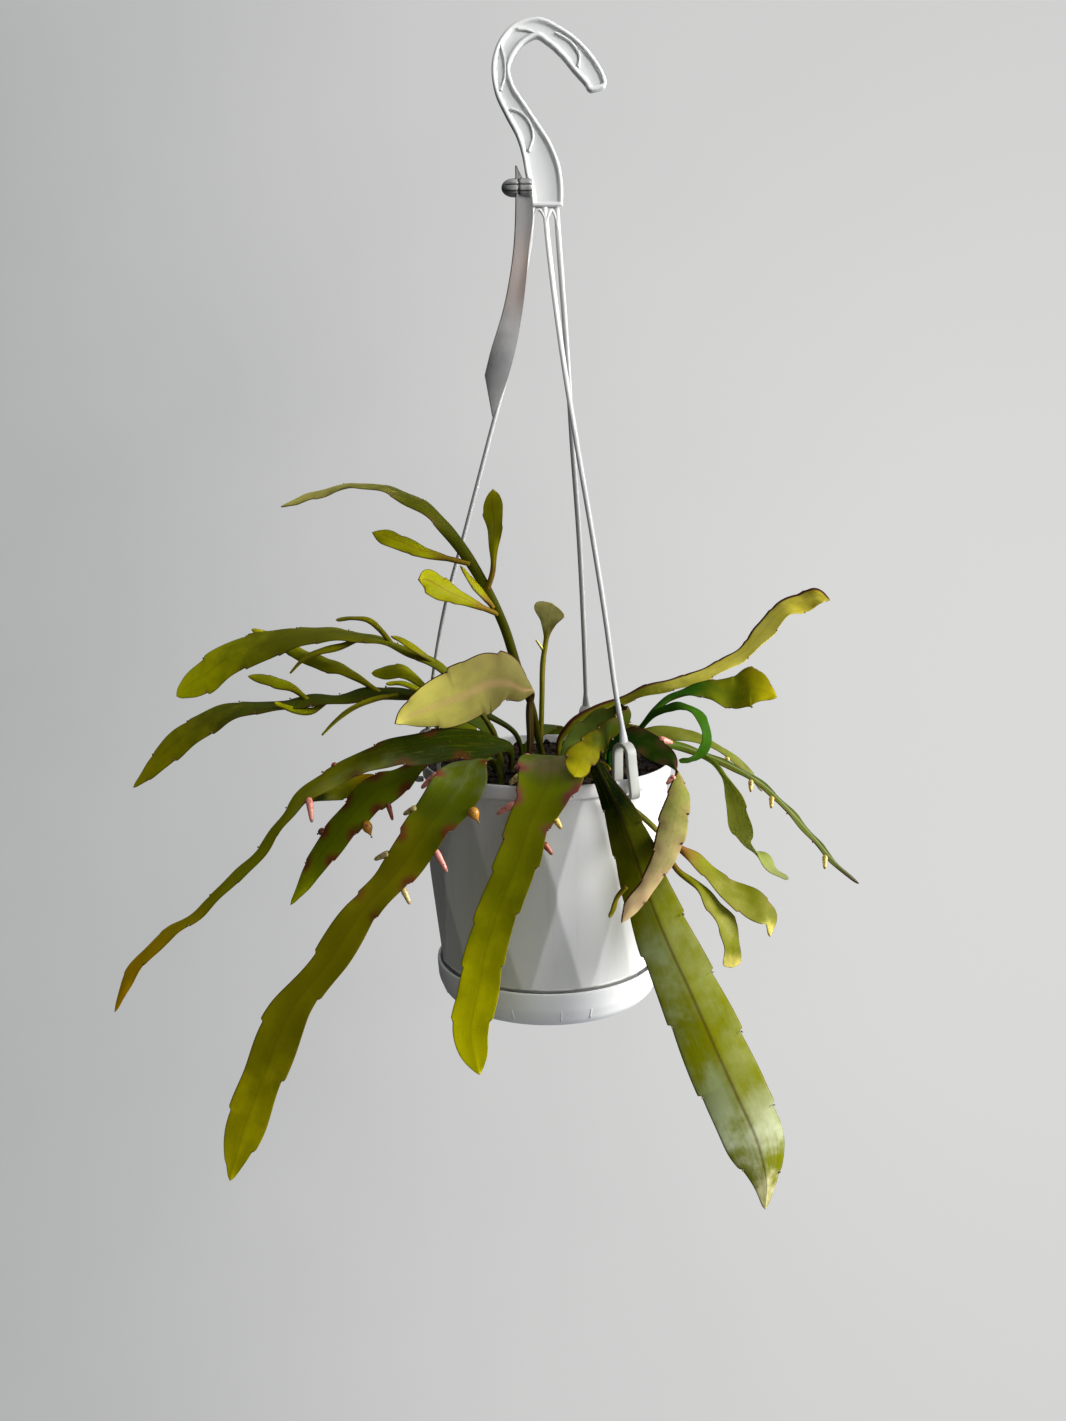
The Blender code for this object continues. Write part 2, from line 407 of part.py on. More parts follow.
def along(curve):
    """Distance from the start of the curve to each of its points."""
    return np.concatenate([[0.0], np.cumsum(np.linalg.norm(np.diff(curve[:, :3], axis=0), axis=1))])


def resample(curve, distances, run=None):
    run = along(curve) if run is None else run
    return np.stack([np.interp(distances, run, column) for column in curve.T], axis=1)


def loft(rings):
    """Triangles over rings of equal count, alike on both sides of a blade, with closed ends."""
    count = len(rings[0])
    points = [point for ring in rings for point in ring]
    faces = []
    for row in range(len(rings) - 1):
        a, b = row * count, (row + 1) * count
        for k in range(count):
            n = (k + 1) % count
            if k < count // 2:
                faces += [(a + k, a + n, b + n), (a + k, b + n, b + k)]
            else:
                faces += [(a + k, a + n, b + k), (a + n, b + n, b + k)]
    last = (len(rings) - 1) * count
    for k in range(1, count - 1):
        faces += [(0, k + 1, k), (last, last + k, last + k + 1)]
    return points, faces


def ring_places(length, blade_start, pitch):
    """Ring distances: both margins' notches, and never more than RING_GAP apart."""
    marks = [0.0, length]
    distance = blade_start
    while pitch and distance < length - 0.25 * pitch:
        marks += [distance + part * pitch for part in (0.0, 0.44, 0.5, 0.94)
                  if distance + part * pitch < length - 2.0]
        distance += pitch
    marks = sorted(marks)
    places = [marks[0]]
    for mark in marks[1:]:
        pieces = max(1, math.ceil((mark - places[-1]) / RING_GAP))
        start = places[-1]
        places += [start + (mark - start) * k / pieces for k in range(1, pieces + 1)]
    return np.array(places)


def lobe(place, pitch, notch):
    """Margin of a notched blade: it widens slowly, then steps in at the notch."""
    return 1.0 - notch * (1.0 - (place / pitch) % 1.0)


def blade_frames(stations):
    """Fine rows of (centre, unit side, unit normal, half width) and the distance to each."""
    curve = catmull_rom(stations, 8)
    run = along(curve)
    forward = np.gradient(curve[:, :3], axis=0)
    forward /= np.linalg.norm(forward, axis=1)[:, None]
    arms = curve[:, 3:] - forward * np.sum(curve[:, 3:] * forward, axis=1)[:, None]
    widths = np.linalg.norm(arms, axis=1)
    sides = np.zeros_like(arms)
    clear = np.where(widths > CLEAR_ARM)[0]
    for k in range(len(curve)):
        nearest = arms[k] if widths[k] > CLEAR_ARM else arms[clear[np.argmin(abs(clear - k))]]
        flat = nearest - forward[k] * np.dot(nearest, forward[k])
        sides[k] = flat / np.linalg.norm(flat)
    normals = np.cross(forward, sides)
    return np.hstack([curve[:, :3], sides, normals, widths[:, None]]), run


def blade_mesh(name, stations, pitch=0.0, notch=0.0):
    """A stem or blade: six-point rings, thin at the margins and thicker at the midrib."""
    frames, run = blade_frames(stations)
    wide = np.where(frames[:, 9] > BLADE_WIDTH)[0]
    blade_start = run[wide[0]] if len(wide) else run[-1]
    places = ring_places(run[-1], blade_start, pitch if notch else 0.0)
    rings = []
    for place, row in zip(places, resample(frames, places, run)):
        center, side, normal = row[:3], row[3:6], row[6:9]
        side = side / np.linalg.norm(side)
        normal = normal / np.linalg.norm(normal)
        flatness = 1.0 if place > blade_start + 6.0 else min(1.0, max(0.0, (row[9] - STEM_WIDTH) / 3.0))
        edge = STEM_EDGE + (BLADE_EDGE - STEM_EDGE) * flatness
        fade = min(1.0, 0.45 + (run[-1] - place) / 25.0)
        rib = max(edge * 1.2, STEM_RIB + (BLADE_RIB * fade - STEM_RIB) * flatness)
        width = max(row[9], TIP_WIDTH if place > blade_start else STEM_WIDTH)
        left = right = width
        if notch and place >= blade_start:
            left = width * lobe(place - blade_start + 0.001, pitch, notch)
            right = width * lobe(place - blade_start + 0.5 * pitch + 0.001, pitch, notch)
        left_side, right_side = center + side * left, center - side * right
        rings.append([left_side + normal * edge, center + normal * rib, right_side + normal * edge,
                      right_side - normal * edge, center - normal * rib, left_side - normal * edge])
    points, faces = loft(rings)
    points = [(x, y, z - HANG_DROP) for x, y, z in points]
    return mesh_from(name, points, faces)


def root_rows(x, y, first):
    """Straight stub that stands in the soil, turned the way the frond starts."""
    arm = np.array(first[3:5], float)
    reach = np.linalg.norm(arm)
    arm = arm / reach * ROOT_RADIUS if reach > 0.01 else np.array([-ROOT_RADIUS, 0.0])
    heights = (ROOT_BOTTOM, 0.5 * (ROOT_BOTTOM + SOIL_EDGE), ROOT_TOP)
    return [(x, y, height, arm[0], arm[1], 0.0) for height in heights]


def make_bud(name, stations, bud, collection):
    """A drop-shaped bud that grows out of a blade's margin and sags a little."""
    part, edge, length, radius = bud
    frames, run = blade_frames(stations)
    row = resample(frames, [part * run[-1]], run)[0]
    outward = Vector(row[3:6] * edge)
    base = Vector(row[:3]) + outward * (row[9] * BUD_SEAT)
    lean = (outward + Vector((0.0, 0.0, -BUD_SAG))).normalized()
    work = bmesh.new()
    bmesh.ops.create_uvsphere(work, u_segments=6, v_segments=4, radius=1.0)
    mesh = bpy.data.meshes.new(name)
    work.to_mesh(mesh)
    work.free()
    for vertex in mesh.vertices:
        across = radius * (0.8 - 0.2 * vertex.co.z)
        vertex.co = Vector((vertex.co.x * across, vertex.co.y * across, (vertex.co.z + 0.75) * length * 0.5))
    turn = lean.to_track_quat("Z", "Y").to_matrix().to_4x4()
    base.z -= HANG_DROP
    mesh.transform(Matrix.Translation(base * MM) @ turn @ Matrix.Scale(MM, 4))
    return add_object(name, mesh, collection)


def frond_stations(name):
    spec = FRONDS[name]
    return root_rows(*spec["root"], spec["line"][0]) + list(spec["line"])


def make_frond(name, collection, material):
    spec = FRONDS[name]
    stations = frond_stations(name)
    body = add_object(name, blade_mesh(name, stations, spec["pitch"], spec["notch"]), collection, material)
    extras = [add_object(f"{name}_leaf_{k}", blade_mesh(name, line), collection)
              for k, line in enumerate(SIDE_LEAVES.get(name, ()))]
    extras += [make_bud(f"{name}_bud_{k}", stations, bud, collection)
               for k, bud in enumerate(BUDS.get(name, ()))]
    if extras:
        body = combine(body, extras, "UNION", name + "_extras")
        body.data.materials.clear()
        body.data.materials.append(material)
    return body


def turned(name, profile, steps, collection, material=None):
    """A closed profile of (radius, height) turned round the Z axis."""
    mesh = bpy.data.meshes.new(name)
    points = [(MM * radius, 0.0, MM * (height - HANG_DROP)) for radius, height in profile]
    closed = profile[0][0] > 0.001
    edges = [(k, k + 1) for k in range(len(points) - 1)]
    edges += [(len(points) - 1, 0)] if closed else []
    mesh.from_pydata(points, edges, [])
    obj = add_object(name, mesh, collection, material)
    screw = obj.modifiers.new("turn", "SCREW")
    screw.steps = screw.render_steps = steps
    screw.use_merge_vertices = True
    screw.merge_threshold = 0.000005
    bpy.context.view_layer.update()
    obj = baked(obj)
    if material is not None:
        obj.data.materials.append(material)
    return obj


def facet_ring(radius, height, half_angle):
    """Corner points round the pot: two for each facet, or one pair closed to a point."""
    points = []
    for k in range(FACET_COUNT):
        middle = FACET_TURN + 360.0 * k / FACET_COUNT
        for angle in (middle - half_angle, middle + half_angle):
            turn = math.radians(angle)
            points.append((radius * math.cos(turn), radius * math.sin(turn), height - HANG_DROP))
    return points


def tip_radius(height, top_height):
    """Radius of a triangle's tip, so that the diamond beside it is one flat plane."""
    half_pitch = 180.0 / FACET_COUNT
    slant = math.cos(math.radians(half_pitch - FACET_HALF_ANGLE))
    share = (top_height - height) / (top_height - BODY_BOTTOM)
    flat = slant * (BODY_TOP_RADIUS + (BODY_LOW_RADIUS - BODY_TOP_RADIUS) * share)
    return flat / math.cos(math.radians(half_pitch))


def facet_body(name, collection):
    """Pot body: hanging and standing triangles with flat diamonds between them."""
    pairs = 2 * FACET_COUNT
    top_height = -RIM_BAND + 1.0
    top = facet_ring(BODY_TOP_RADIUS, top_height, FACET_HALF_ANGLE)
    low = facet_ring(BODY_LOW_RADIUS, BODY_BOTTOM, FACET_HALF_ANGLE)
    upper = facet_ring(tip_radius(FACET_UPPER_TIP, top_height), FACET_UPPER_TIP, 0.0)[::2]
    lower = facet_ring(tip_radius(FACET_LOWER_TIP, top_height), FACET_LOWER_TIP, 0.0)[::2]
    points = top + low + upper + lower
    up, down = 2 * pairs, 2 * pairs + FACET_COUNT
    faces = [tuple(range(pairs)), tuple(range(2 * pairs - 1, pairs - 1, -1))]
    for k in range(FACET_COUNT):
        n = (k + 1) % FACET_COUNT
        left, right, far = 2 * k, 2 * k + 1, 2 * n
        faces += [(left, up + k, right), (pairs + left, pairs + right, down + k)]
        faces += [(right, up + k, up + n, far), (up + k, down + k, down + n, up + n),
                  (down + k, pairs + right, pairs + far, down + n)]
    return add_object(name, mesh_from(name, points, faces), collection)


def make_pot(collection, cutters, material):
    pot = facet_body("pot", collection)
    seat = RIM_RADIUS - 3.5
    band = turned("band", [
        (seat, 0.0), (RIM_RADIUS - 0.5, 0.0), (RIM_RADIUS, -0.6), (RIM_RADIUS, -RIM_BAND + 0.3),
        (RIM_RADIUS - 0.3, -RIM_BAND), (seat, -RIM_BAND)], 48, cutters)
    ledge = FOOT_RADIUS + 3.0
    foot = turned("foot", [(0.0, BODY_BOTTOM + 2.0), (ledge, BODY_BOTTOM + 2.0), (ledge, BODY_BOTTOM),
                           (FOOT_RADIUS, BODY_BOTTOM - 6.0), (FOOT_RADIUS, FOOT_BOTTOM + 1.0),
                           (FOOT_RADIUS - 1.0, FOOT_BOTTOM), (0.0, FOOT_BOTTOM)], 36, cutters)
    pot = combine(pot, [band, foot], "UNION", "pot_parts")
    inner_top = RIM_RADIUS - RIM_WALL
    hollow = turned("hollow", [
        (0.0, 4.0), (inner_top, 4.0), (inner_top, -RIM_BAND - 2.0), (inner_top - 3.5, -RIM_BAND - 8.0),
        (BODY_LOW_RADIUS - 4.0, BODY_BOTTOM + 4.0), (FOOT_RADIUS - 2.0, BODY_BOTTOM - 4.0),
        (FOOT_RADIUS - 2.4, FOOT_BOTTOM + POT_FLOOR), (0.0, FOOT_BOTTOM + POT_FLOOR)], 30, cutters)
    holes = []
    for k in range(DRAIN_HOLES):
        turn = 2.0 * math.pi * k / DRAIN_HOLES
        bpy.ops.mesh.primitive_cylinder_add(
            vertices=8, radius=MM * DRAIN_RADIUS, depth=MM * 12.0,
            location=(MM * DRAIN_CIRCLE * math.cos(turn), MM * DRAIN_CIRCLE * math.sin(turn),
                      MM * (FOOT_BOTTOM - HANG_DROP)))
        holes.append(bpy.context.object)
    pot = combine(pot, [hollow] + holes, "DIFFERENCE", "pot_cuts")
    pot.data.materials.append(material)
    return pot


def make_saucer(collection, material):
    lip, base, wall = SAUCER_LIP_RADIUS, SAUCER_BASE_RADIUS, SAUCER_WALL
    top, low = SAUCER_LIP_TOP, SAUCER_BOTTOM
    profile = [
        (0.0, low + 2.0 + 1.7), (FOOT_RADIUS + 1.0, low + 2.0 + 1.7), (base + 2.6, low + 5.6),
        (lip - wall - 1.2, low + 11.5),
        (lip - wall, top), (lip - 0.4, top), (lip, top - 0.5), (lip, top - 3.0), (lip - 0.8, low + 10.0),
        (base + 5.2, low + 4.2),
        (base + 2.0, low + 0.6), (base, low), (0.0, low),
    ]
    return turned("saucer", profile, 48, collection, material)


def make_soil(collection, cutters, material):
    inner = RIM_RADIUS - RIM_WALL - GAP
    profile = [
        (0.0, SOIL_CROWN), (24.0, SOIL_CROWN - 0.3), (48.0, SOIL_EDGE + 0.5), (inner, SOIL_EDGE),
        (inner, -RIM_BAND - 2.0),
        (inner - 3.5, -RIM_BAND - 8.0), (BODY_LOW_RADIUS - 4.0 - GAP, BODY_BOTTOM + 4.0),
        (FOOT_RADIUS - 2.4, BODY_BOTTOM - 4.0),
        (FOOT_RADIUS - 2.4 - GAP, FOOT_BOTTOM + POT_FLOOR + GAP), (0.0, FOOT_BOTTOM + POT_FLOOR + GAP),
    ]
    soil = turned("soil", profile, 30, collection)
    cuts = []
    for name, spec in FRONDS.items():
        x, y = spec["root"]
        bpy.ops.mesh.primitive_cylinder_add(
            vertices=8, radius=MM * ROOT_HOLE_RADIUS, depth=MM * 20.0,
            location=(MM * x, MM * y, MM * (ROOT_BOTTOM - GAP + 10.0 - HANG_DROP)))
        cuts.append(bpy.context.object)
    for angle in CLIP_ANGLES:
        turn = math.radians(angle)
        depth = 20.0
        bpy.ops.mesh.primitive_cube_add(size=1.0, rotation=(0.0, 0.0, turn), location=(
            MM * CLIP_INNER_LEG * math.cos(turn), MM * CLIP_INNER_LEG * math.sin(turn),
            MM * (CLIP_INNER_FOOT - GAP + 0.5 * depth - HANG_DROP)))
        slot = bpy.context.object
        slot.scale = (MM * (CLIP_BAR + 2 * GAP), MM * (CLIP_WIDTH + 2 * GAP), MM * depth)
        bpy.ops.object.transform_apply(location=False, rotation=True, scale=True)
        cuts.append(slot)
    soil = combine(soil, cuts, "DIFFERENCE", "soil_cuts")
    soil.data.materials.append(material)
    return soil


def hook_bar(name, inset, front, back, collection):
    """A bar of rectangular section along the hook's middle line, its edges drawn in by inset."""
    rows = catmull_rom([(x, 0.0, z, half) for x, z, half in HOOK_LINE], 2)
    run = along(rows)
    places = [place for place in run if inset < place < run[-1] - inset]
    rings = []
    for place in [inset] + places + [run[-1] - inset]:
        row = resample(rows, [place])[0]
        ahead = resample(rows, [min(place + 0.4, run[-1]), max(place - 0.4, 0.0)])
        forward = ahead[0, :3] - ahead[1, :3]
        forward /= np.linalg.norm(forward)
        side = np.array([forward[2], 0.0, -forward[0]]) * (row[3] - inset)
        rings.append([row[:3] + side * across + np.array([0.0, y, 0.0])
                      for across, y in ((-1, front), (1, front), (1, back), (-1, back))])
    points, faces = loft(rings)
    return add_object(name, mesh_from(name, points, faces), collection)


def make_hook(collection, cutters):
    """Hook and neck plate: raised edges with a thin web between them on both faces."""
    depth, web = 0.5 * HOOK_DEPTH, 0.5 * HOOK_WEB
    hook = hook_bar("hanger", 0.0, -depth, depth, collection)
    recesses = [hook_bar("recess_front", HOOK_RIM, -depth - 1.0, -web, cutters),
                hook_bar("recess_back", HOOK_RIM, web, depth + 1.0, cutters)]
    return combine(hook, recesses, "DIFFERENCE", "hook_recesses")


def make_strand(name, route, collection):
    """One strand: a round bar on a smooth route, wider where it meets its clip."""
    curve = catmull_rom([(*point, 1.0) for point in route], 2)
    data = bpy.data.curves.new(name, "CURVE")
    data.dimensions = "3D"
    data.bevel_depth = MM * STRAND_RADIUS
    data.bevel_resolution = 2
    data.use_fill_caps = True
    spline = data.splines.new("POLY")
    spline.points.add(len(curve) - 1)
    left = along(curve)[-1] - along(curve)
    for point, row, rest in zip(spline.points, curve, left):
        point.co = (MM * row[0], MM * row[1], MM * (row[2] - HANG_DROP), 1.0)
        point.radius = 1.0 + 0.55 * max(0.0, 1.0 - rest / 9.0)
    obj = bpy.data.objects.new(name, data)
    collection.objects.link(obj)
    bpy.context.view_layer.update()
    return baked(obj)


def clip_outline():
    """Side view of a clip: foot, outer leg, arch, inner leg, then back on its inner side."""
    half = 0.5 * CLIP_BAR
    center = 0.5 * (CLIP_OUTER_LEG + CLIP_INNER_LEG)
    reach = 0.5 * (CLIP_OUTER_LEG - CLIP_INNER_LEG)
    arch = [math.pi * k / 8 for k in range(9)]
    toe = BODY_TOP_RADIUS + 0.7
    shelf = -RIM_BAND - GAP
    outer = [(toe, CLIP_OUTER_FOOT), (CLIP_OUTER_LOW + half, CLIP_OUTER_FOOT)]
    outer += [(center + (reach + half) * math.cos(a), CLIP_SHOULDER + (reach + half) * math.sin(a))
              for a in arch]
    outer += [(CLIP_INNER_LEG - half, CLIP_INNER_FOOT), (CLIP_INNER_LEG + half, CLIP_INNER_FOOT)]
    inner = [(center + (reach - half) * math.cos(a), CLIP_SHOULDER + (reach - half) * math.sin(a))
             for a in reversed(arch)]
    return outer + inner + [(CLIP_OUTER_LOW - half, shelf), (toe, shelf)]


def make_clip(name, angle, collection):
    outline = clip_outline()
    turn = math.radians(angle)
    radial = np.array([math.cos(turn), math.sin(turn), 0.0])
    tangent = np.array([-math.sin(turn), math.cos(turn), 0.0])
    count = len(outline)
    points = []
    for offset in (-0.5 * CLIP_WIDTH, 0.5 * CLIP_WIDTH):
        points += [radial * r + tangent * offset + np.array([0.0, 0.0, z - HANG_DROP]) for r, z in outline]
    faces = [tuple(range(count)), tuple(range(2 * count - 1, count - 1, -1))]
    faces += [(k, (k + 1) % count, count + (k + 1) % count, count + k) for k in range(count)]
    return add_object(name, mesh_from(name, points, faces), collection)


def make_hanger(collection, cutters, material):
    """One moulding: hook, neck plate, three strands and the clips that grip the rim."""
    hanger = make_hook(collection, cutters)
    pieces = [make_strand(f"strand_{k}", route, cutters) for k, route in enumerate(STRANDS)]
    pieces += [make_clip(f"clip_{k}", angle, cutters) for k, angle in enumerate(CLIP_ANGLES)]
    hanger = combine(hanger, pieces, "UNION", "hanger_parts")
    hanger.data.materials.append(material)
    return hanger


def make_tag(collection, material):
    """Thin bare strip that curves down beside the strands."""
    rows = catmull_rom([(*center, *arm) for center, arm in TAG_LINE], 2)
    rings = []
    for k, row in enumerate(rows):
        before, after = rows[max(k - 1, 0)], rows[min(k + 1, len(rows) - 1)]
        forward = after[:3] - before[:3]
        normal = np.cross(forward, row[3:])
        normal *= 0.5 * TAG_THICKNESS / np.linalg.norm(normal)
        center, arm = row[:3] - np.array([0.0, 0.0, HANG_DROP]), row[3:]
        left, right = center + arm, center - arm
        rings.append([left + normal, right + normal, right - normal, left - normal])
    points, faces = loft(rings)
    return add_object("plant_tag", mesh_from("plant_tag", points, faces), collection, material)


def make_peg(collection, material):
    """Small rounded block against the neck plate, with a slot that the tag passes through."""
    length, depth, height = PEG_SIZE
    back = -0.5 * HOOK_DEPTH - GAP
    (x, y, z), arm = TAG_LINE[1]
    level = PEG_LEVEL - HANG_DROP
    count = 8
    outline = []
    for k in range(count + 1):
        a = 0.5 * math.pi + math.pi * k / count
        outline.append((-0.5 * (length - height) + 0.5 * height * math.cos(a), 0.5 * height * math.sin(a)))
    outline += [(0.5 * length, -0.5 * height), (0.5 * length, 0.5 * height)]
    total = len(outline)
    points = [(x - PEG_SHIFT + u, offset, level + v) for offset in (back - depth, back) for u, v in outline]
    faces = [tuple(range(total)), tuple(range(2 * total - 1, total - 1, -1))]
    faces += [(k, (k + 1) % total, total + (k + 1) % total, total + k) for k in range(total)]
    peg = add_object("tag_peg", mesh_from("tag_peg", points, faces), collection)
    bpy.ops.mesh.primitive_cube_add(size=1.0, location=(MM * x, MM * y, MM * level),
                                    rotation=(0.0, 0.0, math.atan2(arm[1], arm[0])))
    slot = bpy.context.object
    slot.scale = (MM * (2.0 * math.hypot(arm[0], arm[1]) + 2.4 * GAP), MM * (TAG_THICKNESS + 2.4 * GAP),
                  MM * 3.0 * height)
    bpy.ops.object.transform_apply(location=False, rotation=True, scale=True)
    peg = combine(peg, [slot], "DIFFERENCE", "peg_cuts")
    peg.data.materials.append(material)
    return peg


def main():
    clear_scene()
    plant = new_collection("potted_rhipsalis")
    cutters = new_collection("cutters")
    white = make_material("white_plastic", (0.80, 0.80, 0.81, 1.0), 0.42)
    make_hanger(plant, cutters, make_material("hanger_plastic", (0.78, 0.78, 0.78, 1.0), 0.38))
    make_pot(plant, cutters, white)
    make_saucer(plant, make_material("saucer_plastic", (0.74, 0.76, 0.78, 1.0), 0.42))
    make_soil(plant, cutters, make_material("potting_mix", (0.03, 0.02, 0.014, 1.0), 0.95))
    make_tag(plant, make_material("tag_plastic", (0.26, 0.25, 0.23, 1.0), 0.5))
    make_peg(plant, make_material("peg_plastic", (0.03, 0.035, 0.035, 1.0), 0.25))
    for name in FRONDS:
        make_frond(name, plant, make_material(name, FROND_COLORS.get(name, GREEN), 0.4))


main()
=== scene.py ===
"""Looks of the potted rhipsalis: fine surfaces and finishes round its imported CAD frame.

The origin is the bearing point inside the hook, +Z is up and -Y is the front.
Sizes are millimetres until a mesh is made. Heights in the plant, pot and strand
tables are measured from the top of the pot's rim, as in the part's source.
"""
import math

import bpy
import numpy as np
from mathutils import Matrix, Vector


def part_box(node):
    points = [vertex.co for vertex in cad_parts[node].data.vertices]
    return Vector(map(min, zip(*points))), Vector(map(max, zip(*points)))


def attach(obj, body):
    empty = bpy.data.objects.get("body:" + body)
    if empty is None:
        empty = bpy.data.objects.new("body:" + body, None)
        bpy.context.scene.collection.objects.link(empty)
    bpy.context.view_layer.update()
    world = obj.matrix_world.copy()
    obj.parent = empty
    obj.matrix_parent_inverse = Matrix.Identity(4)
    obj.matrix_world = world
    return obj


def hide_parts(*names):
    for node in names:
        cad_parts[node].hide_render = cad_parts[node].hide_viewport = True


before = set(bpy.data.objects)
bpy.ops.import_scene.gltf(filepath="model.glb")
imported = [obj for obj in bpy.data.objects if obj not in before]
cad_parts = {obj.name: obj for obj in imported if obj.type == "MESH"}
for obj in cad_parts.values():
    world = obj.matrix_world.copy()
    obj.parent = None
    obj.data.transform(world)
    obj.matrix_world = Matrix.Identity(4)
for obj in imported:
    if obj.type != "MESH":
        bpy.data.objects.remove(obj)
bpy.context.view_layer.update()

MM = 0.001
HANG_DROP = 377.0         # hook bearing down to the top of the rim
SMALL = 1e-6

# Hook: middle line (x, z from the bearing point) and half width, from the free
# end over the bearing to the foot of the neck plate.
HOOK_LINE = (
    (30.3, -25.4, 5.0), (29.5, -22.2, 5.3), (22.4, -12.2, 6.2), (15.0, -4.4, 5.8), (8.2, 0.6, 5.2),
    (0.0, 4.6, 4.7), (-9.6, 2.0, 5.3), (-16.2, -4.8, 5.2), (-19.4, -14.0, 4.7), (-17.6, -24.5, 5.2),
    (-12.4, -34.0, 5.9), (-6.0, -44.4, 6.6), (-1.2, -54.4, 8.2), (1.6, -64.0, 9.2), (3.2, -73.0, 8.8),
    (3.6, -80.0, 8.3), (3.6, -82.0, 8.2),
)

# Raised ribs on both sides of the hook's thin web, as routes of (x, z).
HOOK_RIBS = (
    ((-19.8, -25.5), (-17.3, -18.5), (-17.2, -11.8), (-19.2, -3.6)),
    ((-14.4, -34.2), (-12.0, -34.9), (-7.8, -37.3), (-4.0, -43.0), (-3.2, -47.5), (-5.6, -55.0)),
    ((9.0, 1.7), (13.6, -0.6), (17.9, -4.0), (21.1, -9.4), (20.4, -14.6)),
    ((-10.4, 3.8), (-5.4, 3.3), (0.4, 0.8)),
)

# Arches between the strands under the neck plate, as routes of (x, y, z).
STRAND_ARCHES = (
    ((-4.5, -0.8, -92.0), (-3.6, -0.6, -87.0), (-0.8, -0.9, -83.4), (2.0, -1.4, -87.0), (3.1, -2.0, -92.0)),
    ((3.2, -2.0, -92.0), (4.0, -1.2, -87.0), (6.1, 0.2, -83.4), (8.2, 1.6, -87.0), (9.2, 2.4, -92.0)),
)

# Strands: routes (x, y, height above the rim) from the neck plate to each clip.
STRANDS = (
    ((-3.6, 0, 297), (-5, -1, 280), (-9, -2, 260), (-16, -3, 222), (-29, -5, 176), (-43, -6, 127),
     (-55, -8, 85), (-62, -8.6, 49), (-65.4, -8.4, 23), (-65.8, -8.2, 17)),
    ((2.4, 0, 297), (3.6, -3, 280), (5.6, -7, 260), (11, -17, 215), (17, -27, 174), (25, -38, 123),
     (31, -45, 82), (36, -50, 43), (39.3, -52.5, 23), (39.9, -52.9, 17)),
    ((8.4, 0, 297), (9.6, 4, 280), (11, 8, 262), (14, 18, 224), (17, 30, 177), (21, 43, 125),
     (24, 53, 68), (25.7, 60.4, 23), (25.9, 61, 17)),
)
CLIP_ANGLES = (-173.0, -53.0, 67.0)

# Plant tag: centre line (x, y, height above the rim) and arm to its left edge.
TAG_LINE = (
    ((-12.2, -13.6, 312), (-0.3, -0.4, 0.2)), ((-8.8, -9.6, 298.5), (-3.8, -4.4, 0.2)),
    ((-10.3, -9.6, 272), (-3.8, -4.4, 0)), ((-12.4, -9.8, 256), (-4.1, -4.4, 0.6)),
    ((-15.4, -10, 240), (-4.6, -4.2, 1.6)), ((-19, -10, 226), (-4.6, -4, 4.6)),
    ((-23, -9.8, 213.5), (-3.6, -3.4, 8.6)), ((-28.6, -9.4, 198.5), (-1.8, -1.4, 10.8)),
)

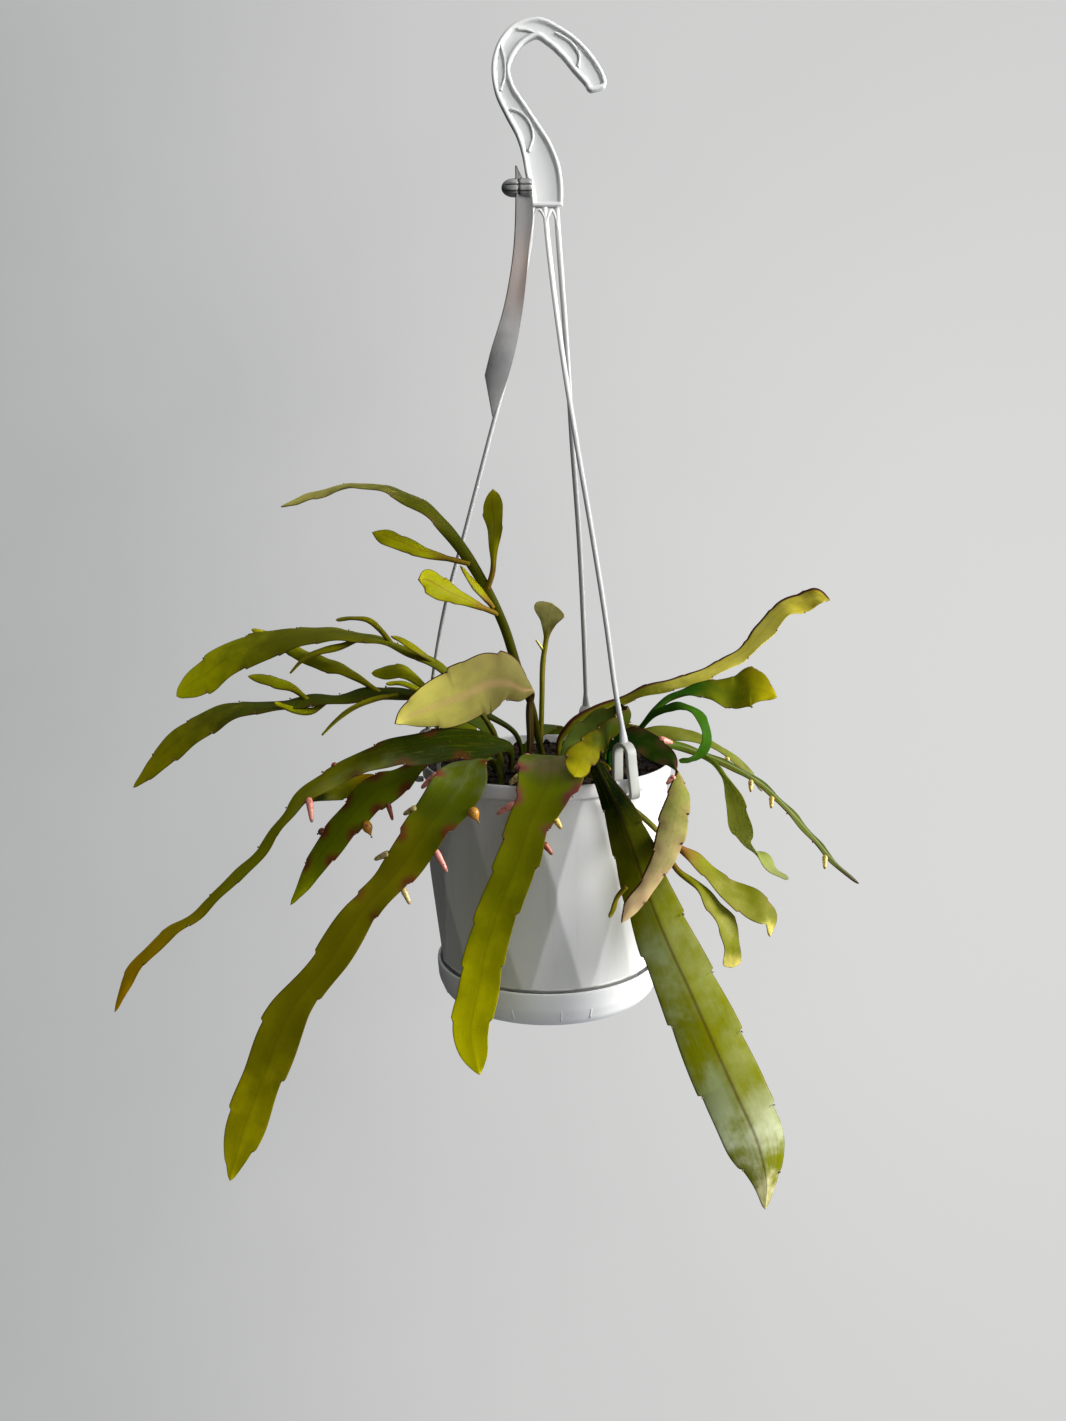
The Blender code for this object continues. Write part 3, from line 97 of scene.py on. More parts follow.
# Shoots. Each station is the middle of the blade (x, y, height above the rim) and
# the arm from there to its left margin. Pitch and notch place the areoles.
FRONDS = {
    "frond_front_left": dict(root=(-26, -34), pitch=40, notch=0.13, line=(
        (-40, -57, 10, -10, 2, -1), (-46, -75, 2, -15.5, 2, 1), (-59, -84, -14, -15, 2, -1.5),
        (-78, -90, -40, -14.5, 2, -4), (-95, -95, -58, -13.5, 2, -3.5), (-110, -99, -80, -14.5, 2, -5),
        (-130, -103, -105, -14.5, 2, -3.5), (-144, -107, -137, -12, 2, -1),
        (-157, -110, -171, -9, 2, 1.5), (-163, -111, -191, -1, 0, 0.5))),
    "frond_front_center": dict(root=(0, -24), pitch=26, notch=0.12, line=(
        (2, -50, 10, -16, 2, 0.5), (0, -72, 3, -17.5, 2, 0), (-10, -80, -16, -12, 2, -0.5),
        (-16, -85, -34, -11.5, 2, 1), (-24, -89, -53, -11.5, 2, -0.5), (-32, -92, -76, -11, 2, -0.5),
        (-37, -95, -100, -11, 2, -0.5), (-41, -97, -120, -10, 2, -0.5), (-39, -98, -134, -6.5, 1, -1),
        (-37, -99, -142, -1, 0, 0))),
    "frond_front_right": dict(root=(20, -34), pitch=34, notch=0.1, line=(
        (24, -58, 10, -3.5, 0, -0.5), (28, -72, 3, -5, 0, -1), (34, -75, -9, -7.5, 1, -2),
        (42, -76, -30, -10.5, 1.5, -3.5), (50, -77, -55, -12.5, 0, -4), (60, -79, -81, -14, -2, -6),
        (72, -82, -108, -15.5, -3.5, -6), (84, -85, -136, -17, -4, -5.5), (95, -88, -161, -17.5, -4, -3.5),
        (107, -91, -190, -15.5, -3.5, -1.5), (110, -93, -206, -8, -2, -1.5), (110, -94, -222, -1, 0, -0.5))),
    "frond_folded_right": dict(root=(34, -16), pitch=17, notch=0.12, line=(
        (36, -21, 11, 1, 3.5, 3), (47, -26, 15, 1.5, 6, 6), (58, -36, 11, 2, 5, 6),
        (66, -47, 6, 1, 4, 3.5), (68, -59, -4, -5, 0, 2), (64, -71, -17, -8.5, -1, -0.5),
        (58, -83, -32, -8, -1, -1), (49, -89, -46, -7, -1, -2), (40, -93, -57, -4.5, 0, 1),
        (35, -95, -64, -0.5, 0, 0.5))),
    "frond_forked_right": dict(root=(14, -42), pitch=60, notch=0, line=(
        (20, -56, 3.5, 0, 1, 0.5), (24, -65, 3.2, 0.5, 0.8, 0.5), (30, -70.4, -1, 1, 0, 0.8),
        (38, -67, -9, 0.8, 0, 0.9), (48, -62, -18, 1, 0, 1), (61, -60, -31, 1, 0, 0.8))),
    "frond_pale_left": dict(root=(-10, -10), pitch=24, notch=0.12, line=(
        (-9, -13, 13, -2, 0, 0), (-9, -16, 33, -2, 0, 0), (-8, -22, 42, -1, 0, 2.5),
        (-13, -29, 44, -0.5, -3, 8.5), (-20, -34, 48, -1.5, -4, 15), (-30, -38, 49, -1.5, -5, 18),
        (-40, -42, 45, -2.5, -5, 17.5), (-52, -46, 41, -3, -5, 15.5), (-65, -50, 37, -2.5, -4, 11),
        (-74, -53, 34, -0.5, -2, 6), (-79, -55, 31, 0, 0, 1))),
    "frond_long_left": dict(root=(-20, -22), pitch=26, notch=0.13, line=(
        (-20, -29, 12, 1, 3, 1.5), (-31, -38, 16, 2.5, 6, 5), (-47, -44, 18, 0.5, 8, 7.5),
        (-65, -48, 17, 1.5, 8, 8), (-81, -50, 15, 0, 8, 6.5), (-94, -51, 12, -2.5, 8, 4.5),
        (-106, -52, 6, -3.5, 8, 3.5), (-120, -53, -1, -4, 8, 2.5), (-131, -54, -9, -4, 8, 0.5),
        (-139, -55, -19, -3.6, 8, -0.5), (-156, -57, -41, -3.8, 7, 0), (-171, -59, -54, -4.2, 7, -0.7),
        (-184, -61, -67, -5.2, 6, -1.8), (-199, -63, -77, -6.2, 5, -1.2), (-211, -65, -87, -6, 4, -1.7),
        (-221, -66, -99, -5, 3, -1.3), (-230, -68, -119, -0.5, 0, 0.5))),
    "frond_lower_left": dict(root=(-30, -8), pitch=19, notch=0.12, line=(
        (-46, -14, 7, 0.5, 2, 2), (-57, -20, 9, 0.5, 3, 2.5), (-66, -27, 6.5, 0, 5, 4.5),
        (-81, -34, -4.5, -1.5, 6, 7), (-92, -38, -9, -4, 6, 8.5), (-102, -41, -18, -5, 6, 6.5),
        (-110, -44, -27, -5, 6, 6.5), (-118, -46, -37, -5, 5, 5), (-125, -48, -47, -5, 4, 3.5),
        (-130, -50, -55, -3.5, 3, 2), (-138, -52, -67, -0.5, 0, 0.5))),
    "frond_arch_left": dict(root=(-20, 0), pitch=27, notch=0.12, line=(
        (-28, -6, 13, -0.6, 1.4, 0), (-33, -9, 23, -0.4, 1.4, 0.5), (-46, -15, 41, 0, 1.6, 1.5),
        (-58, -20, 56, 1, 2, 2), (-72, -20, 63, 1, 4, 1.5), (-86, -17, 69, 0, 7, 1),
        (-104, -12, 72, -1, 9, 2), (-120, -8, 73, -1, 10, 3), (-141, -3, 70, -3, 10, 5),
        (-160, 1, 65, -4, 10, 7.5), (-177, 5, 59, -5.5, 9, 7.5), (-192, 9, 49, -5.5, 8, 8),
        (-202, 12, 43, -5.5, 6, 6), (-211, 14, 36, -1.5, 1, 1))),
    "frond_side_left": dict(root=(-14, 8), pitch=25, notch=0.12, line=(
        (-17, 3, 13, 0.8, 1.2, 0.6), (-30, -3, 24, 0.8, 1.6, 1), (-50, -12, 34, 0, 3, 1.5),
        (-72, -20, 40, 0.5, 4, 2), (-82, -22, 42, -0.5, 6, 2.5), (-96, -24, 42, -0.5, 7, 3),
        (-111, -25, 40, -1, 8, 1.5), (-129, -25, 39, -2.5, 8, 2), (-148, -24, 36, -3, 9, 1),
        (-168, -23, 34, -3.5, 9, 3), (-181, -22, 29, -5.5, 9, 4), (-195, -21, 21, -6.5, 8, 4),
        (-206, -20, 13, -7, 7, 3.5), (-214, -19, 5, -5.5, 5, 2.5), (-222, -18, -3, -4.5, 3, 0),
        (-229, -17, -10, -0.5, 0, 0.5))),
    "frond_tall_left": dict(root=(-2, 2), pitch=26, notch=0.12, line=(
        (-5, -2, 14, 2, 0, 0), (-7, -5, 27, 2, 0, 0), (-15, -10, 51, 2.4, 0, 1),
        (-23, -14, 78, 2.4, 0, 1), (-33, -18, 100, 2.4, 0, 1.5), (-47, -23, 123, 2.6, 0.5, 2),
        (-61, -23, 139, 2, 5, 2.5), (-72, -20, 146, 1, 8, 3), (-84, -14, 151, -0.5, 10, 2),
        (-98, -7, 153, -1.5, 11, 1), (-110, -1, 152, -2, 10, 1.5), (-123, 5, 149, -2, 8, 2),
        (-134, 10, 146, -2, 5, 1.5), (-146, 14, 142, -0.5, 0.3, 0.3))),
    "shoot_upright": dict(root=(-4, 14), pitch=60, notch=0, line=(
        (-3, 14, 9, -1.5, 0, 0), (-2, 15, 31, -1.5, 0, 0), (-1, 15, 54, -1.6, 0, 0),
        (1, 14, 67, -1.6, 0, 0), (2, 12, 75, -4, 3, 0), (3, 10, 83, -8.5, 4, 2.5),
        (4, 9, 87, -5.5, 3, 1.5))),
    "frond_high_right": dict(root=(7, 9), pitch=24, notch=0.13, line=(
        (8, 10, 8, -1.4, 0.6, 1), (14, 11, 16, -1.5, 1, 2), (28, 15, 24, -1.5, 2, 2),
        (42, 19, 28, -0.5, 3, 2), (60, 24, 34, -0.5, 5, 2.5), (83, 30, 38, -1, 7, 2.5),
        (105, 36, 46, -2.5, 8, 1.5), (120, 41, 54, -2, 9, 1.5), (132, 46, 66, -4, 9, 1.5),
        (143, 50, 77, -2.5, 9, 3), (156, 54, 81, -2, 8, 5), (166, 57, 85, -1.5, 5, 4.5),
        (173, 59, 82, 0.5, 0, 1))),
    "frond_scalloped": dict(root=(8, -12), pitch=13, notch=0.2, line=(
        (11, -11, 9, -1.6, 1.6, 1.2), (19, -9, 13.5, -3, 3, 6), (30, -9, 20.5, -2, 4, 7.5),
        (40, -14, 25, -1, 3, 7), (45, -23, 28.5, -0.5, 0, 5.5), (42, -34, 28.5, -1, -3, 5),
        (36, -43, 26, -2.5, -3.5, 5), (29, -51, 22, -4.5, -3, 5), (22, -61, 18, -7.5, -3, 4),
        (16, -70, 13.5, -8.5, -2.5, 3), (13.5, -77, 9.5, -6, -2, 1.5), (12.5, -80.5, 7, -1, 0, 0))),
    "frond_curled_right": dict(root=(28, 2), pitch=17, notch=0.14, line=(
        (53, 0, 16, -1, 0, 1.2), (62, 4, 26, -1, 0, 1.5), (70, 7, 32, -1, 1, 1.5), (80, 9, 35, 0.5, 3, 2),
        (94, 10, 36, 2, 4, 5.5), (108, 10, 34, 3, 5, 9.5), (117, 8, 37, 4.5, 5, 12),
        (125, 6, 35, 4, 3, 4.5), (131, 5, 32, 1, 1, 1))),
    "frond_strap_right": dict(root=(22, 16), pitch=25, notch=0.1, line=(
        (50, 14, 9, -1, 1, 2), (63, 16, 10, 0.5, 3, 3.5), (81, 19, 8, 0.5, 5, 3), (95, 22, 3, 2, 6, 0.5),
        (108, 24, -6, 2.5, 6, 0), (120, 26, -16, 2, 4, 0.5), (128, 27, -28, 0.5, 0.4, 0.5))),
    "frond_far_right": dict(root=(34, 11), pitch=22, notch=0.1, line=(
        (60, 6, 7, 0, 1, 2), (78, 4, 4, 0.5, 2, 2), (91, 3, -1, 1, 3, 1.2), (107, 1, -8, 1.4, 5, 0.7),
        (124, -1, -19, 1.8, 6, 0.3), (138, -3, -33, 2, 6, 0.3), (152, -4, -49, 2, 6, 0.3),
        (166, -5, -65, 1.6, 4, 0), (178, -6, -75, 0.5, 0.3, 0.5))),
    "shoot_small": dict(root=(-25, -50), pitch=60, notch=0, line=(
        (-25, -50, 4, -1.6, 0.4, 0), (-25, -49.6, 8, -2, 1, 0), (-25, -49, 11.5, -1.5, 0.8, 0),
        (-25, -49, 14, -0.6, 0, 0))),
    "frond_back_center": dict(root=(-12, 26), pitch=25, notch=0.12, line=(
        (-4, 46, 4, -3, 1, 0), (1, 62, 6, -7.5, 2, 0.5), (2, 75, 4, -10, 2, 0), (4, 93, -16, -12.5, 2, 0),
        (6, 110, -52, -14, 1, 0), (10, 120, -92, -13, 0, 0), (12, 124, -122, -8, 0, 0),
        (12, 125, -136, -1, 0, 0))),
    "frond_back_left": dict(root=(-28, 22), pitch=27, notch=0.12, line=(
        (-42, 48, 15, -8, -5, 0), (-52, 78, 16, -12, -6, 0), (-58, 104, -8, -14, -5, 0),
        (-60, 118, -46, -13, -4, 0), (-58, 124, -80, -8, -2, 0), (-56, 126, -96, -1, 0, 0))),
    "frond_back_right": dict(root=(16, 30), pitch=24, notch=0.12, line=(
        (30, 42, 8, -4, 3.5, 0), (43, 54, 8.5, -5.5, 4.5, 0), (52, 68, 5, -8, 5, 0),
        (57, 88, -10, -10, 5, 0), (59, 106, -36, -11, 5, 0), (60, 118, -72, -9, 4, 0),
        (60, 122, -102, -1, 0, 0))),
}

# Side leaves, each grown out of its shoot.
SIDE_LEAVES = {
    "frond_forked_right": (
        ((58, -60, -28, 0.5, 0, 1), (68, -60, -36, 1, 0, 1.5), (75, -61, -41, 2, 3, 2),
         (89, -62, -55, 3.5, 5, 2.5), (100, -63, -63, 4.5, 6, 5), (108, -64, -68, 4, 6, 6),
         (115, -65, -74, 4, 5, 3), (115, -67, -83, 1, 0, -0.5)),
        ((59, -60, -28, 0.5, 0, 1), (62, -62, -39, 1, 0, 0.8), (66, -64, -46, 1.2, 0, 1),
         (78, -66, -56, 2, 3, 0.5), (85, -68, -66, 5, 5, -0.5), (92, -70, -76, 6.5, 5, -1),
         (94, -72, -86, 5.5, 4, -2), (94, -74, -97, 5.5, 3, -0.5)),
    ),
    "frond_tall_left": (
        ((-40, -21, 111, 0, 0, 1), (-48, -22, 113, 0.5, 0, 1), (-56, -22, 115, 0, 1, 2),
         (-66, -22, 118, 1, 3, 3), (-75, -21, 122, 1, 4, 4), (-85, -19, 126, 1.5, 4, 4),
         (-92, -17, 128, 0, 0, 0.8)),
        ((-26, -15, 83.5, 0.5, 0, 1), (-29, -17, 85, 0.5, 0, 1), (-35, -21, 88, 1, 1, 1.5),
         (-42, -26, 92, 1.5, 2, 2.5), (-50, -31, 96, 2, 3, 4.5), (-56, -35, 100, 2, 4, 6.5),
         (-63, -38, 104, 1.5, 3, 5), (-66, -40, 104, 0, 0, 1.5)),
        ((-31, -17.5, 97, -1, 0, 0), (-28, -20, 106, -1, 0, 0), (-27, -22, 120, -2.5, 1, 0.5),
         (-26, -22, 133, -5, 3, 0), (-27, -20, 141, -6, 4, 0.5), (-27, -18, 147, -3.5, 2, 1),
         (-27, -17, 150, -0.8, 0, 0)),
        ((-28, -16, 87, 0.5, 0, 0.8), (-34, -20, 95, 1.5, 3, 0.5), (-40, -22, 103, 1.5, 3, 0.5),
         (-45, -22, 110, 0.5, 0, 0.5)),
    ),
    "shoot_upright": (
        ((-1, 15, 60, 0, 0, 1), (-3, 12, 63, -1, 1, 1.5), (-5, 10, 66, -0.5, 0, 0.5)),
    ),
    "frond_arch_left": (
        ((-84, -17, 68.6, 1, 0, 0.4), (-89, -16, 75, 1, 1, 0.5), (-96, -15, 81, 1, 2, 0.5),
         (-104, -14, 82, -0.5, 3, 0.5), (-114, -12, 81, 0, 1, 1)),
        ((-101, -13, 71, 0, 0.5, 0.8), (-111, -16, 67, 0, 2, 1.5), (-121, -17, 65, 0, 3, 1.5),
         (-132, -18, 60, 0.5, 2, 1.5), (-139, -19, 53, 0.5, 0, 0.6)),
        ((-61, -20, 58, 0.5, 0, 1), (-70, -25, 66, 0.5, 3, 1), (-77, -25, 71, 0.5, 3, 1),
         (-83, -24, 73, 0, 0.3, 0.8)),
    ),
    "frond_side_left": (
        ((-129, -25, 39.2, 0.5, 0, 0.8), (-137, -22, 45, 0.5, 2, 1.5), (-147, -19, 48, 0.5, 3, 2.5),
         (-156, -16, 50, 0.5, 2, 2.5), (-163, -14, 51, 0, 0, 1)),
        ((-118, -27, 39, 0, 0, 0.8), (-126, -30, 34, 0, 2, 1.5), (-135, -31, 35, 0, 2, 1.5),
         (-146, -31, 39, 0.5, 0, 0.5)),
        ((-80, -24, 41, 0.5, 0, 0.8), (-92, -30, 40, 0.5, 2, 1), (-105, -34, 35, 1, 2, 1),
         (-113, -36, 29, 2, 2, 1.5), (-120, -37, 22, 0.5, 0, 0.5)),
        ((-61, -16, 37, 0.5, 0, 1), (-70, -16, 47, 1, 2, 1.5), (-78, -13, 52, -0.5, 5, 3.5),
         (-87, -11, 52, -0.5, 5, 3.5), (-96, -9, 51, 0, 1, 1.5)),
        ((-63, -17, 37.6, 0.4, 0, 0.8), (-69, -26, 44, 0, 2, 1), (-77, -28, 48, 0, 2, 1),
         (-86, -29, 48, 0, 0, 0.6)),
        ((-90, -23, 42, 1, 0, 0.6), (-102, -16, 49, 0.5, 2, 1.5), (-111, -11, 53, 1, 4, 2),
         (-123, -5, 56, -1.5, 6, 4), (-136, 4, 60, -2, 6, 4), (-148, 11, 65, -2, 6, 4),
         (-159, 18, 70, -2, 5, 3), (-168, 22, 73, 0.5, 0, 1)),
    ),
    "frond_long_left": (
        ((-130, -53, -9, 0, 0, 0.8), (-122, -43, -11, 0.5, 0, 1.5), (-113, -31, -10, -1, 3, 5),
         (-103, -25, -8, -1.5, 3, 6), (-94, -21, -4, -0.5, 0, 1.5)),
    ),
    "frond_curled_right": (
        ((53, 0, 16, -1, 0, 1), (61, -2, 25, -1, 1, 1.5), (68, -4, 28, 0, 3, 1.5),
         (74, -8, 30, 0, 4, 1.5), (81, -11, 28, 1.5, 4, 1), (86, -14, 23, 2.5, 4, 1),
         (88, -17, 15, 3.5, 4, -1), (85, -20, 7, 3, 4, -2), (78, -23, 3, 1.5, 4, -2.5),
         (72, -25, 3, 0.5, 2, -2)),
    ),
    "frond_far_right": (
        ((86, 3, 0.8, -0.6, 0, -0.8), (95, -4, -4, -1, 0, -0.8), (100, -7, -11, -2, 1, 0.5),
         (105, -9, -23, -4.5, 3, -1), (107, -11, -32, -5.5, 5, -1.5), (109, -13, -41, -5, 7, -2),
         (112, -15, -48, -1.5, 9, -3), (115, -17, -51, 1.5, 8, -3), (120, -19, -55, 3, 6, 1),
         (125, -21, -61, 3, 4, 0), (134, -23, -66, 1, 1, 1)),
    ),
    "frond_front_right": (
        ((25, -59, 9.6, -0.6, 0, 0.6), (29, -61, 9, -1, 0, 1.4), (32, -63, 7, 0, 0, 0.6)),
        ((39, -77, -51, 0.5, 0, 0.8), (34, -78, -57, 1, 1, 0), (32, -79, -63, 1.5, 1, 0),
         (30, -79, -67, 0.8, 0, 0)),
    ),
}

# Areoles at measured places (mm from the shoot's foot) on its left and right margin.
AREOLES = {
    "frond_front_left": ((60, 100, 139, 174, 215, 262, 289), (44, 86, 118, 141, 190, 238, 278)),
    "frond_front_center": ((58, 80, 101, 119, 146, 168, 196), (48, 70, 90, 110, 134, 163, 191)),
    "frond_front_right": ((72, 98, 124, 151, 189, 229, 276), (84, 110, 138, 173, 208, 251, 282)),
    "frond_arch_left": ((84, 112, 142, 172, 202, 230), (98, 127, 156, 180, 202, 233)),
    "frond_side_left": ((84, 110, 136, 164, 192, 222, 248), (97, 123, 150, 180, 208, 237, 258)),
    "frond_long_left": ((74, 104, 134, 160, 186, 222, 255, 283), (60, 90, 118, 148, 172, 204, 238, 270)),
    "frond_curled_right": ((96, 119, 127), (88, 105, 116)),
}

# Buds and fruits: part of the way along the shoot, margin (1 left, -1 right),
# length, radius and kind.
BUDS = {
    "frond_long_left": ((0.48, -1, 13, 2.0, "pink"), (0.42, 1, 11, 1.8, "rust")),
    "frond_lower_left": (
        (0.64, -1, 9, 2.8, "fruit"), (0.53, -1, 9, 1.6, "rust"), (0.75, 1, 6, 2.0, "brown")),
    "frond_front_left": (
        (0.2, 1, 12, 2.2, "pink"), (0.29, 1, 9, 2.0, "tan"), (0.38, 1, 10, 2.0, "tan"),
        (0.33, -1, 12, 1.9, "pink"), (0.41, -1, 8, 1.7, "tan"), (0.24, -1, 8, 3.0, "fruit")),
    "frond_front_center": (
        (0.16, 1, 11, 2.6, "pink"), (0.3, 1, 7, 2.0, "tan"), (0.38, 1, 12, 2.2, "pink"),
        (0.37, -1, 6, 1.9, "gold"), (0.44, -1, 7, 1.9, "rust")),
    "frond_folded_right": ((0.32, 1, 9, 2.2, "pink"), (0.48, 1, 6, 1.8, "pink")),
    "frond_far_right": ((0.54, -1, 7, 1.6, "gold"), (0.62, -1, 7, 1.6, "gold"), (0.86, -1, 8, 1.6, "gold")),
    "frond_strap_right": ((0.76, -1, 7, 1.7, "gold"),),
}


# ---------------------------------------------------------------- finishes

def tone(red, green, blue):
    """Linear colour from one written as 0-255 display values."""
    def linear(value):
        value /= 255.0
        return value / 12.92 if value <= 0.04045 else ((value + 0.055) / 1.055) ** 2.4
    return (linear(red), linear(green), linear(blue), 1.0)


class Wire:
    """A shader socket. Arithmetic on it adds Math nodes."""

    def __init__(self, finish, socket):
        self.finish, self.socket = finish, socket

    def math(self, operation, *values):
        return self.finish.add("Math", dict(enumerate(values)), operation=operation)

    def __add__(self, other):
        return self.math("ADD", self, other)

    def __sub__(self, other):
        return self.math("SUBTRACT", self, other)

    def __rsub__(self, other):
        return self.math("SUBTRACT", other, self)

    def __mul__(self, other):
        return self.math("MULTIPLY", self, other)

    def __abs__(self):
        return self.math("ABSOLUTE", self)

    __radd__, __rmul__ = __add__, __mul__

    def step(self, low, high):
        """0 at low and 1 at high, with a smooth ramp between; low may be the larger."""
        return self.finish.add("MapRange", {"Value": self, "From Min": low, "From Max": high},
                               interpolation_type="SMOOTHSTEP")


class Finish:
    """A procedural material or world, whose nodes are added by expressions on Wires."""

    def __init__(self, name, library="materials", shader="Principled BSDF", **constants):
        self.material = getattr(bpy.data, library).new(name)
        self.material.use_nodes = True
        self.tree = self.material.node_tree
        self.shader = self.tree.nodes[shader]
        for key, value in constants.items():
            self.shader.inputs[key.replace("_", " ")].default_value = value

    def add(self, kind, values, output=0, **settings):
        """A node of this kind with its settings, then its sockets' values or links."""
        node = self.tree.nodes.new("ShaderNode" + kind)
        for key, value in settings.items():
            setattr(node, key, value)
        for key, value in values.items():
            if isinstance(value, Wire):
                self.tree.links.new(value.socket, node.inputs[key])
            else:
                node.inputs[key].default_value = value
        return Wire(self, node.outputs[output])

    def place(self, stretch=(1.0, 1.0, 1.0)):
        where = self.add("TexCoord", {}, "Object")
        return self.add("VectorMath", {0: where, 1: stretch}, operation="MULTIPLY")

    def noise(self, scale, detail=3.0, stretch=(1.0, 1.0, 1.0), where=None):
        """Noise from 0 to 1; its patches are about 1/scale metres."""
        values = {"Vector": where or self.place(stretch), "Scale": scale, "Detail": detail}
        return self.add("TexNoise", values)

    def mark(self, name):
        """A number kept on the mesh's vertices."""
        return self.add("Attribute", {}, "Fac", attribute_name=name)

    def blend(self, share, first, second):
        """First colour where share is 0, second where it is 1."""
        return self.add("Mix", {0: share, 6: first, 7: second}, 2, data_type="RGBA")

    def link(self, wire, key):
        """Feed one of the shader's sockets."""
        self.tree.links.new(wire.socket, self.shader.inputs[key])

    def done(self, color, roughness, height=None, depth=0.0003, strength=0.5):
        """Link what varies over the surface to the shader, and give the material."""
        self.link(color, "Base Color")
        self.link(roughness, "Roughness")
        if height is not None:
            bump = self.add("Bump", {"Height": height, "Distance": depth, "Strength": strength})
            self.link(bump, "Normal")
        return self.material


FLUSH = tone(118, 26, 32)
WINE = tone(66, 26, 18)
BARK = tone(84, 58, 36)
CREAM = tone(228, 220, 172)
ROSE = tone(204, 150, 120)


def blade_finish(name, foot, light, dark, under, tip, foot_end=0.3, tip_start=0.8, blush=0.08,
                 flush_end=2.0, flush=FLUSH, rib=0.15, rib_tone=WINE, rib_half=0.09, rim=0.45,
                 rim_side=0, rim_wide=1.0, bloom=0.05, gloss=0.05, sheens=(), glow=0.0):
    """Waxy skin: a deeper foot, blotches of two greens, a paler or yellower tip, thin red margins
    and flushed shoulders. Colours come as 0-255 display values. A sheen is a painted highlight in
    one colour, laid in patches from one share of the length to another. Sheen patches and the red
    margin lie on the left side (1), the right one (-1) or both (0). Pale cream blotches are partly
    the skin's wax and partly painted sheen. A blade may shine a little by itself, in its own
    colours: painted light standing in for light coming through it."""
    f = Finish(name, Specular_IOR_Level=gloss, Emission_Strength=glow)
    foot, light, dark, under, tip = (tone(*color) for color in (foot, light, dark, under, tip))
    across, edge, face = f.mark("across"), f.mark("edge"), f.mark("face")
    run, share = f.mark("run"), f.mark("share")
    broad, patch, fine = f.noise(38.0, 3.0), f.noise(120.0, 4.0), f.noise(520.0, 3.0)
    uneven_share = share + (broad - 0.5) * 0.25
    skin = f.blend((broad * 0.65 + patch * 0.35).step(0.36, 0.64), dark, light)
    # Pale cream blotches: partly the skin's wax, partly painted sheen.
    skin = f.blend(patch.step(0.56, 0.74) * bloom, skin, CREAM)
    skin = f.blend(face.step(0.35, -0.35), skin, f.blend(fine.step(0.4, 0.7) * 0.2, under, light))
    skin = f.blend(uneven_share.step(foot_end + 0.12, foot_end - 0.12), skin, foot)
    skin = f.blend((share + (patch - 0.5) * 0.2).step(tip_start, 1.02), skin, tip)
    grain = f.add("CombineXYZ", {"X": across * 9.0, "Y": run * 0.05, "Z": face})
    vein = f.noise(1.4, 2.0, where=grain)
    skin = f.blend(vein.step(0.5, 0.8) * 0.14, skin, light)
    skin = f.blend(fine.step(0.6, 0.7) * 0.12, skin, dark)
    # Painted highlights: each sheen lays a paler colour over the skin in patches.
    for highlight_tone, start, end, side, strength in sheens:
        painted_sheen_mask = (broad * 0.55 + patch * 0.35 + vein * 0.1).step(0.38, 0.66)
        painted_sheen_mask = painted_sheen_mask * share.step(start - 0.08, start + 0.08)
        painted_sheen_mask = painted_sheen_mask * share.step(end + 0.06, end - 0.06) * strength
        skin = f.blend(painted_sheen_mask * (across * side).step(-0.2, 0.4) if side else painted_sheen_mask, skin, tone(*highlight_tone))
    skin = f.blend(abs(across).step(rib_half, 0.0) * rib, skin, rib_tone)
    warm = f.mark("blush") * (0.55 + patch * 0.9) * share.step(flush_end, flush_end - 0.2)
    skin = f.blend(warm.step(0.2, 0.95) * blush, skin, flush)
    line = (edge + (patch - 0.5) * 0.5).step(0.75 * rim_wide, 0.35 * rim_wide) * rim
    skin = f.blend(line * (across * rim_side).step(-0.1, 0.1) if rim_side else line, skin, WINE)
    skin = f.blend(f.mark("areole").step(0.45, 0.8) * 0.85, skin, BARK)
    # Painted light: the skin shines by itself, standing in for light coming through the blade.
    if glow:
        f.link(skin, "Emission Color")
    rough = 0.40 + fine * 0.14 + patch * 0.1
    height = f.noise(1500.0, 2.0) * 0.35 + vein * 0.5 + patch * 0.6
    return f.done(skin, rough, height, 0.0004, 0.22)


def bud_finish():
    """Glossy bud skin in the bud's own tint, with darker spots and a darker tip."""
    f = Finish("bud_skin", Specular_IOR_Level=0.5)
    tint = f.add("Attribute", {}, "Color", attribute_name="tint")
    spots = f.noise(900.0, 2.0)
    skin = f.blend(spots.step(0.56, 0.62) * 0.8, tint, FLUSH)
    skin = f.blend(f.mark("share").step(0.8, 1.0) * 0.6, skin, BARK)
    return f.done(skin, 0.3 + spots * 0.2, spots, 0.0003, 0.4)


def wool_finish():
    f = Finish("areole_wool")
    fleck = f.noise(1800.0)
    skin = f.blend(fleck.step(0.4, 0.7), BARK, tone(168, 150, 110))
    return f.done(skin, 0.75 + fleck * 0.2, fleck, 0.0003, 0.6)


def plastic_finish(name, color, grey, streaks, specks=0.0, rough=0.36, strength=0.1):
    """Satin moulded plastic with soft clouding, faint upright streaks and a few dust specks."""
    f = Finish(name, Specular_IOR_Level=0.3)
    cloud, grain = f.noise(14.0, 3.0), f.noise(700.0, 2.0)
    streak = f.noise(1.0, 3.0, stretch=(160.0, 160.0, 5.0))
    skin = f.blend(cloud.step(0.3, 0.7) * 0.35, color, grey)
    skin = f.blend(streak.step(0.5, 0.75) * streaks, skin, grey)
    if specks:
        cell = f.add("TexVoronoi", {"Vector": f.place(), "Scale": 75.0}, "Distance")
        pick = f.noise(60.0, 1.0)
        skin = f.blend(cell.step(0.055, 0.035) * pick.step(0.58, 0.62) * specks, skin, tone(60, 52, 40))
    relief = grain * 0.3 + cloud if strength else None
    return f.done(skin, rough + cloud * 0.08 + streak * 0.06, relief, 0.0002, strength)


